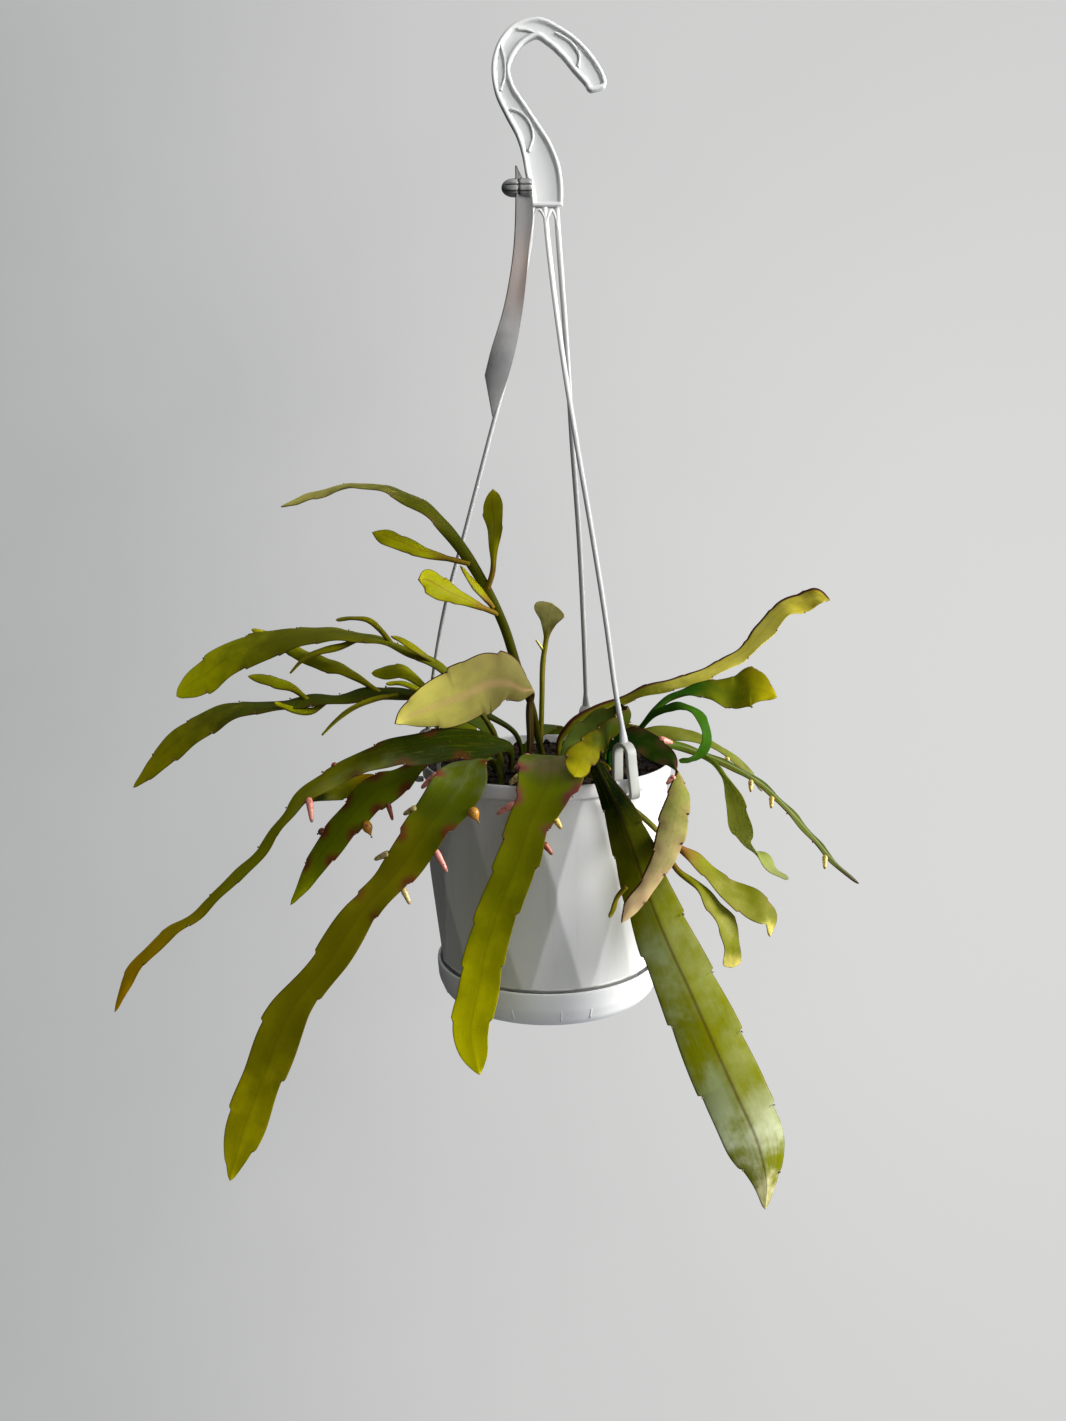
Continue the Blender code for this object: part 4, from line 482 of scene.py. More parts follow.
def strand_finish():
    """Satin plastic with painted light and shade: lighter towards the hook, darker lower down, and
    shining a little by itself near the hook, painted light that stands in for light through the thin
    strands.
    """
    f = Finish("strand_painted_light", Specular_IOR_Level=0.3, Emission_Strength=0.1)
    # Painted light: lighter and self-lit towards the hook, darker lower down.
    top = f.add("SeparateXYZ", {"Vector": f.place()}, "Z").step(-0.22, -0.12)
    glow = f.blend(top, (0.0, 0.0, 0.0, 1.0), tone(206, 206, 206))
    f.link(glow, "Emission Color")
    return f.done(f.blend(top, tone(174, 175, 174), tone(204, 204, 202)), 0.38 + f.noise(14.0) * 0.08)


def soil_finish():
    f = Finish("potting_mix_detail", Specular_IOR_Level=0.25)
    crumb, fine = f.noise(240.0, 4.0), f.noise(1300.0, 3.0)
    skin = f.blend(crumb.step(0.42, 0.66), tone(22, 19, 16), tone(62, 46, 32))
    skin = f.blend(fine.step(0.62, 0.76) * 0.5, skin, tone(120, 104, 84))
    return f.done(skin, 0.8 + fine * 0.18, fine + crumb, 0.0012, 0.8)


def tag_finish():
    """Bare satin strip in painted shade: its greys stand in for the shaded face it turns to the front.
    Darker above and warmer in its middle, with faint scuffs along it.
    """
    f = Finish("tag_painted_shade", Specular_IOR_Level=0.25)
    share, cloud = f.mark("share"), f.noise(60.0, 4.0)
    fibre = f.noise(1.0, 3.0, stretch=(900.0, 900.0, 60.0))
    warm = share.step(0.2, 0.42) * share.step(0.72, 0.5)
    # Painted shade: the strip's dark greys.
    above = f.blend(cloud.step(0.3, 0.7), tone(52, 52, 52), tone(64, 63, 62))
    below = f.blend(cloud.step(0.3, 0.7), tone(92, 92, 92), tone(112, 111, 110))
    skin = f.blend(warm, f.blend(share.step(0.35, 0.62), above, below), tone(86, 74, 68))
    skin = f.blend(fibre.step(0.5, 0.8) * 0.25, skin, tone(60, 58, 58))
    return f.done(skin, 0.42 + cloud * 0.15, fibre, 0.0002, 0.3)


def peg_finish():
    """Smoky plastic, with painted shade darkening its grooves."""
    f = Finish("peg_painted_groove_shade", Specular_IOR_Level=0.55, Coat_Weight=0.3, Coat_Roughness=0.2)
    cloud, groove = f.noise(160.0, 3.0), f.mark("groove")
    skin = f.blend(cloud.step(0.3, 0.7), tone(104, 106, 104), tone(150, 150, 146))
    # Painted shade in the grooves.
    skin = f.blend(groove, skin, tone(46, 47, 46))
    return f.done(skin, 0.22 + cloud * 0.2, cloud, 0.0003, 0.3)


# ---------------------------------------------------------------- surfaces

def catmull_rom(rows, steps):
    """Hermite curve through the rows; each tangent is the mean of its two slopes,
    weighted by the length of the other span, as in the part's source."""
    rows = np.array(rows, float)
    spans = np.diff(rows, axis=0)
    lengths = np.linalg.norm(spans[:, :3], axis=1)[:, None]
    slopes = spans / lengths
    inner = (slopes[:-1] * lengths[1:] + slopes[1:] * lengths[:-1]) / (lengths[1:] + lengths[:-1])
    tangents = np.vstack([slopes[:1], inner, slopes[-1:]])
    t = np.linspace(0.0, 1.0, steps, endpoint=False)[None, :, None]
    start, end = rows[:-1, None], rows[1:, None]
    out, into = (tangents[:-1] * lengths)[:, None], (tangents[1:] * lengths)[:, None]
    curve = ((2 * t ** 3 - 3 * t ** 2 + 1) * start + (t ** 3 - 2 * t ** 2 + t) * out
             + (3 * t ** 2 - 2 * t ** 3) * end + (t ** 3 - t ** 2) * into)
    return np.vstack([curve.reshape(-1, rows.shape[1]), rows[-1:]])


def along(curve):
    return np.concatenate([[0.0], np.cumsum(np.linalg.norm(np.diff(curve[:, :3], axis=0), axis=1))])


def resample(curve, distances, run):
    return np.stack([np.interp(distances, run, column) for column in curve.T], axis=1)


def unit(vectors):
    return vectors / np.maximum(np.linalg.norm(vectors, axis=-1, keepdims=True), SMALL)


def angles(count):
    """Even angles round a full turn, as one row."""
    return np.linspace(0.0, 2.0 * math.pi, count, endpoint=False)[None]


def round_points(radius, height, angle):
    """Points at these radii and heights above the rim, round the Z axis."""
    return np.stack([radius * np.cos(angle), radius * np.sin(angle), height - HANG_DROP + 0.0 * angle], -1)


def smooth(x, low, high):
    """0 below low, 1 above high, smooth between."""
    t = np.clip((x - low) / (high - low), 0.0, 1.0)
    return t * t * (3.0 - 2.0 * t)


def wrapped(points, marks=None, finish=0):
    """A closed skin over rings of points (rings, round, 3), with a pole in each end.
    marks are numbers for each point, kept under their names on the mesh."""
    rings, count = points.shape[:2]
    body = points.reshape(-1, 3)
    poles = np.stack([points[0].mean(0), points[-1].mean(0)])
    row, turn = np.meshgrid(np.arange(rings - 1), np.arange(count), indexing="ij")
    after = (turn + 1) % count
    near, far = row * count, (row + 1) * count
    quads = np.stack([near + turn, near + after, far + after, far + turn], -1)
    spin, none = np.arange(count), np.full(count, -1)
    ahead = (spin + 1) % count
    last, pole = (rings - 1) * count, np.full(count, rings * count)
    caps = np.vstack([np.stack([ahead, spin, pole, none], -1),
                      np.stack([last + spin, last + ahead, pole + 1, none], -1)])
    faces = np.vstack([quads.reshape(-1, 4), caps])
    verts = np.vstack([body, poles])
    values = {}
    for name, value in (marks or {}).items():
        value = np.broadcast_to(value, (rings, count) + value.shape[2:])
        flat = value.reshape((-1,) + value.shape[2:])
        values[name] = np.concatenate([flat, value[:1].mean(1), value[-1:].mean(1)])
    return outward(dict(verts=verts, faces=faces, marks=values, finish=finish))


def outward(part):
    """Turn the faces of a closed skin round if its signed volume is negative."""
    corners = part["verts"][part["faces"]]
    middle = part["verts"].mean(0)
    a, b, c = (corners[:, k] - middle for k in range(3))
    volume = np.sum(np.cross(a, b) * c)
    four = part["faces"][:, 3] >= 0
    d = corners[four, 3] - middle
    volume += np.sum(np.cross(a[four], c[four]) * d)
    if volume < 0.0:
        flipped = part["faces"][:, ::-1].copy()
        flipped[~four] = np.roll(flipped[~four], -1, axis=1)
        part["faces"] = flipped
    return part


def copies(base, centers, sizes, turns, seed, rough, finish=0):
    """The same small closed skin at many places: scaled, turned about Z and X, made uneven."""
    random = np.random.default_rng(seed)
    count, points = len(centers), base["verts"]
    shape = points[None] * (1.0 + rough * random.uniform(-1.0, 1.0, (count, len(points), 1)))
    shape = shape * np.asarray(sizes)[:, None, :]
    c, s = np.cos(turns[:, :1]), np.sin(turns[:, :1])
    x, y, z = shape[..., 0], shape[..., 1], shape[..., 2]
    tilt_c, tilt_s = np.cos(turns[:, 1:2]), np.sin(turns[:, 1:2])
    y, z = y * tilt_c - z * tilt_s, y * tilt_s + z * tilt_c
    shape = np.stack([x * c - y * s, x * s + y * c, z], -1) + centers[:, None]
    offsets = (np.arange(count) * len(points))[:, None, None]
    faces = np.where(base["faces"][None] < 0, -1, base["faces"][None] + offsets)
    return dict(verts=shape.reshape(-1, 3), faces=faces.reshape(-1, 4), marks={}, finish=finish)


def ball(rows, count):
    """Unit ball: x, y = sin(a)(cos b, sin b), z = cos a."""
    a = np.linspace(0.0, math.pi, rows + 2)[1:-1][:, None]
    b = angles(count)
    return wrapped(np.stack([np.sin(a) * np.cos(b), np.sin(a) * np.sin(b), np.cos(a) + 0.0 * b], -1))


def linked(name, data):
    """A new object in the scene's collection."""
    thing = bpy.data.objects.new(name, data)
    bpy.context.scene.collection.objects.link(thing)
    return thing


def piece(name, parts, finishes, node):
    """One mesh object from closed skins, in metres at the origin, riding on the root body.
    It takes the place of the node that the CAD frame has for it."""
    starts = np.cumsum([0] + [len(part["verts"]) for part in parts])
    verts = np.vstack([part["verts"] for part in parts]) * MM
    faces = np.vstack([np.where(part["faces"] < 0, -1, part["faces"] + start)
                       for part, start in zip(parts, starts)])
    used = faces >= 0
    mesh = bpy.data.meshes.new(name)
    mesh.vertices.add(len(verts))
    mesh.vertices.foreach_set("co", verts.astype(np.float32).ravel())
    mesh.loops.add(int(used.sum()))
    mesh.loops.foreach_set("vertex_index", faces[used].astype(np.int32))
    sizes = used.sum(1)
    mesh.polygons.add(len(faces))
    mesh.polygons.foreach_set("loop_start", np.concatenate([[0], np.cumsum(sizes)[:-1]]).astype(np.int32))
    mesh.polygons.foreach_set("use_smooth", np.full(len(faces), True))
    indexes = np.concatenate([np.full(len(part["faces"]), part["finish"]) for part in parts])
    mesh.polygons.foreach_set("material_index", indexes.astype(np.int32))
    for key in sorted({key for part in parts for key in part["marks"]}):
        wide = key == "tint"
        layer = mesh.attributes.new(key, "FLOAT_COLOR" if wide else "FLOAT", "POINT")
        rows = [part["marks"].get(key, np.zeros((len(part["verts"]), 4) if wide else len(part["verts"])))
                for part in parts]
        rows = np.concatenate(rows).astype(np.float32)
        layer.data.foreach_set("color" if wide else "value", rows.ravel())
    mesh.update(calc_edges=True)
    for finish in finishes:
        mesh.materials.append(finish)
    thing = linked(name, mesh)
    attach(thing, "root")
    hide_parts(node)


def rounded(profile, radius, steps=5):
    """A profile with each inner corner replaced by a quadratic curve that starts radius before it."""
    profile = np.array(profile, float)
    rows = [profile[:1]]
    t = np.linspace(0.0, 1.0, steps)[:, None]
    for before, corner, after in zip(profile[:-2], profile[1:-1], profile[2:]):
        into, out = corner - before, after - corner
        reach_in = min(radius, 0.45 * np.linalg.norm(into))
        reach_out = min(radius, 0.45 * np.linalg.norm(out))
        start = corner - unit(into) * reach_in
        end = corner + unit(out) * reach_out
        rows.append((1 - t) ** 2 * start + 2 * t * (1 - t) * corner + t ** 2 * end)
    return np.vstack(rows + [profile[-1:]])


def set_out(route, outline, sides, ups):
    """Rings of points: an outline (rings, round, 2) set out along side and up directions."""
    return route[:, None] + sides[:, None] * outline[..., :1] + ups[:, None] * outline[..., 1:]


def carried(route, outline, sides, finish=0):
    """A closed outline (rings, round, 2) carried along a route, on given side directions."""
    forward = unit(np.gradient(route, axis=0))
    sides = unit(sides - forward * np.sum(sides * forward, axis=1, keepdims=True))
    return wrapped(set_out(route, outline, sides, np.cross(forward, sides)), finish=finish)


def upright(path, degrees):
    """A path of (radius, height above the rim) stood up at an angle round the pot, and its sides."""
    turn = math.radians(degrees)
    radial = np.array([math.cos(turn), math.sin(turn), 0.0])
    tangent = np.array([-math.sin(turn), math.cos(turn), 0.0])
    route = radial * path[:, :1] + np.array([0.0, 0.0, 1.0]) * (path[:, 1:] - HANG_DROP)
    return route, np.broadcast_to(tangent, route.shape)


def soft_box(width, depth, corner, steps=4):
    """Outline of a rectangle with round corners, from arrays or numbers of half sizes."""
    a = np.concatenate([np.linspace(k, k + 1, steps) * 0.5 * math.pi for k in range(4)])[None]
    width, depth, corner = (np.asarray(value, float).reshape(-1, 1) for value in (width, depth, corner))
    right = np.repeat([1.0, -1.0, -1.0, 1.0], steps)[None]
    top = np.repeat([1.0, 1.0, -1.0, -1.0], steps)[None]
    across = right * (width - corner) + corner * np.cos(a)
    level = top * (depth - corner) + corner * np.sin(a)
    return np.stack(np.broadcast_arrays(across, level), -1)


# ---------------------------------------------------------------- shoots

BLADE_RINGS = 1.0         # mm between rings
BLADE_ROUND = 32          # points round a blade
CLEAR_ARM = 1.2           # shorter arms take their direction from a neighbour
BLADE_WIDE = 3.4          # half width from which a stem counts as a blade
STEM_WIDTH = 1.5          # least half width of a stem
STUB_WIDTH = 1.6          # half width of the stub in the soil
BUD_SEAT = 0.92           # share of the half width at which a bud sits
BUD_SAG = 0.8             # how far a bud leans down
SKIN, BUD, WOOL, SIDE = range(4)    # places of a shoot's finishes


def blade_rows(stations):
    """Fine rows of centre, unit side, unit normal and half width, with the distance to each."""
    curve = catmull_rom(stations, 16)
    run = along(curve)
    forward = unit(np.gradient(curve[:, :3], axis=0))
    arms = curve[:, 3:] - forward * np.sum(curve[:, 3:] * forward, axis=1, keepdims=True)
    widths = np.linalg.norm(arms, axis=1)
    clear = np.where(widths > CLEAR_ARM)[0]
    near = clear[np.argmin(abs(clear[None] - np.arange(len(curve))[:, None]), axis=1)]
    arms = np.where((widths > CLEAR_ARM)[:, None], arms, arms[near])
    sides = unit(arms - forward * np.sum(arms * forward, axis=1, keepdims=True))
    normals = np.cross(forward, sides)
    return np.hstack([curve[:, :3], sides, normals, widths[:, None]]), run


def margin(run, areoles, notch):
    """Share of the half width: it swells from one areole to the next, then steps in
    over 1.1 mm at the areole's shoulder. Also the distance to the nearest areole."""
    marks = np.concatenate([[-20.0], np.asarray(areoles, float), [run[-1] + 40.0]])
    k = np.clip(np.searchsorted(marks, run, side="right") - 1, 0, len(marks) - 2)
    place, span = run - marks[k], marks[k + 1] - marks[k]
    swell = 1.0 - (1.0 - np.clip(place / span, 0.0, 1.0)) ** 1.7
    drop = smooth(span - place, 0.0, 1.1)
    share = 1.0 - notch * (1.0 - swell * drop)
    return share, np.min(abs(run[:, None] - marks[None, 1:-1]), axis=1) if len(areoles) else run * 0 + 99.0


def blade(stations, left, right, notch, camber, wave, wave_length, groove=0.0, finish=SKIN):
    """A fleshy blade on rings round its route. Round a ring, s = cos(angle) runs from the
    left margin to the right one; the skin stands off the middle sheet by a half thickness
    that is largest at the midrib, times |sin(angle)|^0.6, so the margins are round. The
    sheet bends by camber * width * s^2 and its margins wave by a sine along the route."""
    rows, run = blade_rows(stations)
    places = np.linspace(0.0, run[-1], max(12, int(run[-1] / BLADE_RINGS)))
    rows = resample(rows, places, run)
    center, side, normal = rows[:, :3], unit(rows[:, 3:6]), unit(rows[:, 6:9])
    wide = rows[:, 9] > BLADE_WIDE
    blade_start = places[np.argmax(wide)] if wide.any() else places[-1]
    grown = smooth(places, blade_start - 2.0, blade_start + 6.0)
    width = np.maximum(rows[:, 9], np.where(places > blade_start, 0.5, STEM_WIDTH))
    end = np.clip((run[-1] - places) / 3.0, 0.0, 1.0)
    width = width * np.sqrt(np.clip(end * (2.0 - end), 0.004, 1.0))
    left_share, left_gap = margin(places, left, notch)
    right_share, right_gap = margin(places, right, notch)
    left_share, right_share = (1.0 - (1.0 - share) * grown for share in (left_share, right_share))
    angle = angles(BLADE_ROUND)
    s = np.cos(angle)
    share = np.where(s >= 0.0, left_share[:, None], right_share[:, None])
    gap = np.where(s >= 0.0, left_gap[:, None], right_gap[:, None])
    flat = np.clip((width - STEM_WIDTH) / 3.0, 0.0, 1.0)[:, None]
    fade = np.clip(0.35 + (run[-1] - places) / 25.0, 0.0, 1.0)[:, None]
    edge_half = 0.95 - 0.45 * flat
    rib_half = (1.4 - 0.45 * flat) * fade
    half = edge_half * fade + np.maximum(rib_half - edge_half * fade, 0.0) * (1.0 - s ** 2)
    half = half + groove * flat * np.exp(-(s / 0.2) ** 2) * np.sign(np.sin(angle) + SMALL)
    lift = np.sign(np.sin(angle)) * abs(np.sin(angle)) ** 0.6 * half
    phase = 2.0 * math.pi * places[:, None] / wave_length + np.where(s > 0, 0.0, 1.9)
    wavy = wave * flat * np.sin(phase) * abs(s) ** 1.5
    sheet = camber * width[:, None] * s ** 2 * flat + wavy
    across = s * width[:, None] * share
    points = center[:, None] + side[:, None] * across[..., None]
    points = points + normal[:, None] * (lift + sheet)[..., None]
    points[..., 2] -= HANG_DROP
    rim = (1.0 - abs(s)) * width[:, None]
    marks = dict(
        across=s + 0.0 * share, edge=rim, face=np.clip(np.sin(angle) * 4.0, -1.0, 1.0) + 0.0 * share,
        run=places[:, None] + 0.0 * s, share=places[:, None] / run[-1] + 0.0 * s,
        blush=np.exp(-(gap / 6.5) ** 2) * np.exp(-(rim / 6.0) ** 2) * grown[:, None],
        areole=np.exp(-(gap / 1.2) ** 2) * np.exp(-(rim / 1.2) ** 2) * grown[:, None])
    return wrapped(points, marks, finish)


def margin_points(stations, distances, side, notch):
    """Places on a margin, with the direction out of it."""
    rows, run = blade_rows(stations)
    row = resample(rows, distances, run)
    out = unit(row[:, 3:6]) * side
    return row[:, :3] + out * row[:, 9:10] * (1.0 - 0.6 * notch), out


BUD_TINTS = {"pink": tone(232, 150, 132), "tan": tone(208, 188, 118), "gold": tone(222, 190, 84),
             "fruit": tone(188, 132, 30), "brown": tone(120, 76, 44), "rust": tone(160, 86, 56)}


def bud(stations, spec):
    """A bud of revolution on a bent axis: radius = r (1 - |2u - 1|^4.5)^0.45, slimmer towards
    its end; a fruit is round with a withered tail on its end."""
    part_way, side, length, radius, kind = spec
    rows, run = blade_rows(stations)
    row = resample(rows, [part_way * run[-1]], run)[0]
    out = row[3:6] * side
    base = row[:3] + out * row[9] * BUD_SEAT
    lean = unit(out + np.array([0.0, 0.0, -BUD_SAG]))
    over = unit(np.cross(lean, [0.0, 1.0, 0.2]))
    up = np.cross(over, lean)
    u = np.linspace(0.02, 0.985, 14)[:, None]
    angle = angles(12)
    if kind in ("fruit", "brown"):
        body = np.where(u < 0.72, np.sqrt(np.clip(1.0 - ((u - 0.36) / 0.38) ** 2, 0.0, 1.0)), 0.0)
        thick = np.maximum(body, 0.2 + 0.14 * np.sin(u * 60.0) * (u > 0.72))
    else:
        thick = (1.0 - abs(2.0 * u - 1.0) ** 4.5) ** 0.45 * (0.84 + 0.2 * np.cos(3.4 * u))
    thick = thick + 0.0 * angle
    center = base + lean * (u - 0.125) * length + np.array([0.0, 0.0, -0.12]) * length * u ** 2
    around = over * np.cos(angle)[..., None] + up * np.sin(angle)[..., None]
    points = center[:, None] + around * (thick * radius)[..., None]
    points[..., 2] -= HANG_DROP
    marks = dict(tint=np.broadcast_to(np.array(BUD_TINTS[kind]), thick.shape + (4,)), share=u + 0.0 * thick)
    return wrapped(points, marks, BUD)


def wool(places, outs, seed):
    """Little tufts sunk in the margins' notches."""
    random = np.random.default_rng(seed)
    count = len(places)
    centers = places - outs * 0.45
    centers[:, 2] -= HANG_DROP
    sizes = random.uniform(0.45, 0.7, (count, 1)) * np.array([[1.0, 0.8, 1.1]])
    return copies(ball(3, 6), centers, sizes, random.uniform(0.0, 6.0, (count, 2)), seed, 0.2, WOOL)


def look(foot, light, dark, under, tip, **more):
    """Colours (0-255) at the foot, two along the blade, underneath and at the tip, and the rest."""
    return dict(foot=foot, light=light, dark=dark, under=under, tip=tip, **more)


SHOOT_LOOKS = {
    "frond_front_left": look(
        (88, 100, 0), (148, 138, 0), (116, 114, 0), (130, 124, 0), (210, 200, 0), blush=0.75,
        flush_end=0.6, foot_end=0.35, tip_start=0.7, sheens=(((150, 160, 146), 0.12, 0.24, 0, 0.3),)),
    "frond_front_center": look(
        (96, 116, 0), (142, 148, 0), (112, 122, 0), (126, 128, 0), (250, 242, 0), blush=0.75,
        flush=tone(146, 44, 72), flush_end=0.55, foot_end=0.32, tip_start=0.5,
        sheens=(((184, 120, 132), 0.13, 0.27, 0, 0.5),)),
    # Its very dark foot is partly its own deeper green and partly painted shade; the last sheen is a painted
    # highlight over the tip.
    "frond_front_right": look(
        (12, 26, 0), (146, 146, 0), (116, 122, 0), (122, 126, 0), (246, 232, 156), blush=0.0, rib=0.6,
        tip_start=0.92, foot_end=0.34,
        sheens=(((196, 214, 170), 0.45, 0.97, 1, 0.42), ((206, 216, 170), 0.4, 0.9, -1, 0.18),
                ((232, 240, 204), 0.84, 0.99, 0, 0.75))),
    "frond_folded_right": look(
        (10, 58, 0), (56, 80, 6), (26, 56, 0), (142, 144, 66), (216, 188, 136), blush=0.2,
        flush=tone(150, 44, 74), rib=0.1, rim=1.0, rim_side=1, rim_wide=1.5, foot_end=0.25,
        tip_start=0.5),
    "frond_forked_right": look(
        (146, 88, 44), (126, 126, 0), (104, 108, 0), (122, 116, 0), (226, 210, 110), rib=0.06,
        tip_start=0.86, foot_end=0.25, sheens=(((206, 212, 156), 0.5, 0.92, 0, 0.1),)),
    "frond_pale_left": look(
        (68, 62, 22), (140, 131, 80), (122, 114, 62), (132, 124, 66), (214, 204, 96), rib=0.3,
        rib_tone=ROSE, rib_half=0.24, rim=1.0, foot_end=0.45, tip_start=0.55, bloom=0.0),
    "frond_long_left": look(
        (38, 50, 2), (150, 150, 6), (118, 124, 2), (138, 140, 6), (206, 158, 0), blush=0.35,
        flush_end=0.6, foot_end=0.38, tip_start=0.65, gloss=0.02,
        sheens=(((150, 156, 130), 0.25, 0.5, -1, 0.2),)),
    "frond_lower_left": look(
        (58, 110, 4), (128, 144, 2), (98, 116, 0), (108, 122, 0), (184, 190, 0), blush=0.8),
    "frond_arch_left": look(
        (80, 88, 0), (120, 122, 0), (98, 106, 0), (108, 110, 0), (222, 222, 0), foot_end=0.36,
        tip_start=0.7),
    "frond_side_left": look(
        (40, 52, 0), (82, 92, 0), (60, 72, 0), (68, 76, 0), (176, 170, 0), blush=0.12, foot_end=0.5,
        tip_start=0.65),
    "frond_tall_left": look(
        (58, 62, 0), (78, 80, 0), (56, 62, 0), (68, 72, 0), (232, 220, 110), tip_start=0.66),
    # Its pale under face and bright tip are partly its own paler colour and partly painted light.
    "shoot_upright": look(
        (96, 96, 10), (124, 118, 30), (98, 96, 8), (226, 218, 116), (255, 244, 146)),
    # Painted light: this blade shines a little by itself, standing in for light coming through it.
    "frond_high_right": look(
        (90, 92, 0), (246, 236, 104), (230, 214, 70), (190, 182, 34), (118, 108, 0), rim=1.0,
        rim_side=1, rim_wide=4.5, foot_end=0.5, tip_start=0.74, glow=0.07),
    # Its dark middle greens are partly its own colour and partly painted shade.
    "frond_scalloped": look(
        (126, 146, 56), (52, 68, 0), (36, 52, 0), (46, 58, 0), (144, 136, 10), blush=0.1, bloom=0.0,
        gloss=0.02, foot_end=0.34, tip_start=0.72),
    "frond_curled_right": look(
        (30, 74, 0), (134, 134, 0), (98, 108, 0), (96, 102, 0), (178, 166, 0), bloom=0.0, foot_end=0.76,
        tip_start=0.8),
    "frond_strap_right": look(
        (22, 30, 0), (112, 118, 36), (90, 98, 18), (78, 86, 4), (130, 134, 86), rim=0.25, foot_end=0.42),
    "frond_far_right": look(
        (112, 150, 40), (78, 88, 14), (56, 68, 0), (62, 70, 4), (38, 33, 4), rim=0.4, rib=0.45,
        rib_tone=tone(144, 156, 100), rib_half=0.4),
    "shoot_small": look(
        (60, 72, 4), (70, 84, 6), (56, 66, 4), (64, 76, 6), (90, 96, 8)),
    "frond_back_center": look(
        (62, 76, 2), (98, 108, 2), (66, 78, 2), (98, 108, 2), (160, 154, 4)),
    "frond_back_left": look(
        (62, 76, 2), (112, 112, 4), (70, 80, 2), (98, 108, 2), (160, 154, 4)),
    "frond_back_right": look(
        (62, 76, 2), (98, 108, 2), (66, 78, 2), (98, 108, 2), (120, 118, 4)),
}
# Side leaves whose colours differ from their shoot's.
SIDE_LOOKS = {
    "frond_tall_left": look(
        (124, 100, 20), (158, 156, 6), (130, 132, 0), (138, 138, 0), (160, 154, 0), rib=0.5,
        rib_tone=FLUSH, rim=0.6),
    "frond_arch_left": look(
        (104, 102, 0), (140, 136, 2), (112, 112, 0), (122, 120, 0), (164, 156, 2), rib=0.3,
        rib_tone=FLUSH, rim=0.5),
    # These side leaves are lighter than their shoot: partly their own paler green and partly painted light.
    "frond_side_left": look(
        (112, 110, 2), (168, 168, 6), (140, 142, 0), (136, 140, 0), (184, 180, 4), rib=0.3,
        rib_tone=FLUSH, rim=0.5),
    "frond_curled_right": look(
        (30, 64, 0), (46, 88, 0), (24, 62, 0), (40, 78, 0), (62, 98, 0), blush=0.0, rim=0.0, bloom=0.02,
        gloss=0.03),
    "frond_far_right": look(
        (80, 98, 14), (130, 142, 20), (100, 116, 6), (126, 132, 36), (136, 142, 84), tip_start=0.56,
        blush=0.0, rim=0.2),
    "frond_front_right": look(
        (110, 100, 10), (130, 122, 10), (110, 104, 6), (120, 112, 8), (176, 160, 40)),
}
# Bend, waves and groove of the blades that differ from the rest.
SHOOT_FORMS = {
    "frond_front_left": dict(camber=-0.10, wave=0.5, wave_length=38.0, groove=-0.25),
    "frond_front_center": dict(camber=-0.12, wave=0.4, wave_length=30.0, groove=-0.2),
    "frond_front_right": dict(camber=0.10, wave=0.4, wave_length=44.0, groove=-0.45),
    "frond_pale_left": dict(camber=0.08, wave=0.5, wave_length=34.0, groove=0.2),
    "frond_curled_right": dict(camber=0.05, wave=0.7, wave_length=20.0),
    "frond_folded_right": dict(camber=0.10, wave=0.3, wave_length=12.0),
    "frond_scalloped": dict(camber=0.12, wave=0.7, wave_length=14.0),
}


def root_rows(x, y, first):
    """Straight stub that stands in the soil, turned the way the shoot starts."""
    arm = np.array(first[3:5], float)
    reach = np.linalg.norm(arm)
    arm = arm / reach * STUB_WIDTH if reach > 0.01 else np.array([-STUB_WIDTH, 0.0])
    return [(x, y, height, arm[0], arm[1], 0.0) for height in (-14.0, -9.5, -1.0)]


def even_areoles(stations, pitch):
    """Areoles at a steady pitch, the two margins in turn."""
    rows, run = blade_rows(stations)
    start = run[np.argmax(rows[:, 9] > BLADE_WIDE)]
    left = np.arange(start + pitch, run[-1] - 6.0, pitch)
    return left, left - 0.5 * pitch


def make_shoots():
    shared = bud_finish(), wool_finish()
    for order, (name, spec) in enumerate(FRONDS.items()):
        notch = spec["notch"]
        form = SHOOT_FORMS.get(name, dict(camber=0.06, wave=0.5, wave_length=26.0))
        stations = root_rows(*spec["root"], spec["line"][0]) + list(spec["line"])
        left, right = AREOLES.get(name) or (even_areoles(stations, spec["pitch"]) if notch else ((), ()))
        parts = [blade(stations, left, right, notch, **form)]
        for side, places in ((1, left), (-1, right)):
            if len(places):
                parts.append(wool(*margin_points(stations, places, side, notch), order * 2 + (side > 0)))
        own = SIDE_LOOKS.get(name)
        for line in SIDE_LEAVES.get(name, ()):
            teeth = even_areoles(line, max(9.0, 0.3 * along(np.array(line, float))[-1]))
            parts.append(blade(line, *teeth, 0.14, 0.08, 0.4, 18.0, finish=SIDE if own else SKIN))
        parts += [bud(stations, row) for row in BUDS.get(name, ())]
        finishes = (blade_finish(name + "_skin", **SHOOT_LOOKS[name]),) + shared
        if own:
            finishes += (blade_finish(name + "_side_skin", **own),)
        piece(name + "_skin", parts, finishes, name)


# ---------------------------------------------------------------- pot, saucer and soil

FACET_COUNT = 12
FACET_HALF_ANGLE = 12.7   # degrees from a triangle's middle line to its corner
FACET_TURN = -87.0        # degrees to the first hanging triangle
FACET_TOP = (68.4, -6.4)  # radius and height of the upper corners
FACET_LOW = (62.4, -113.5)
UPPER_TIP = -56.5         # where the hanging triangles end
LOWER_TIP = -63.5         # where the standing ones end
EDGE_SOFTNESS = 0.05      # mm lost where two facets meet
MEAN_RADIUS = 67.0        # scale that keeps the soft minimum's powers finite
FAR_OFF = 200.0           # radius given to facets that look away
RIB_TURNS = (-109.0, -85.0, -70.0)    # degrees, the same in each quarter of the saucer


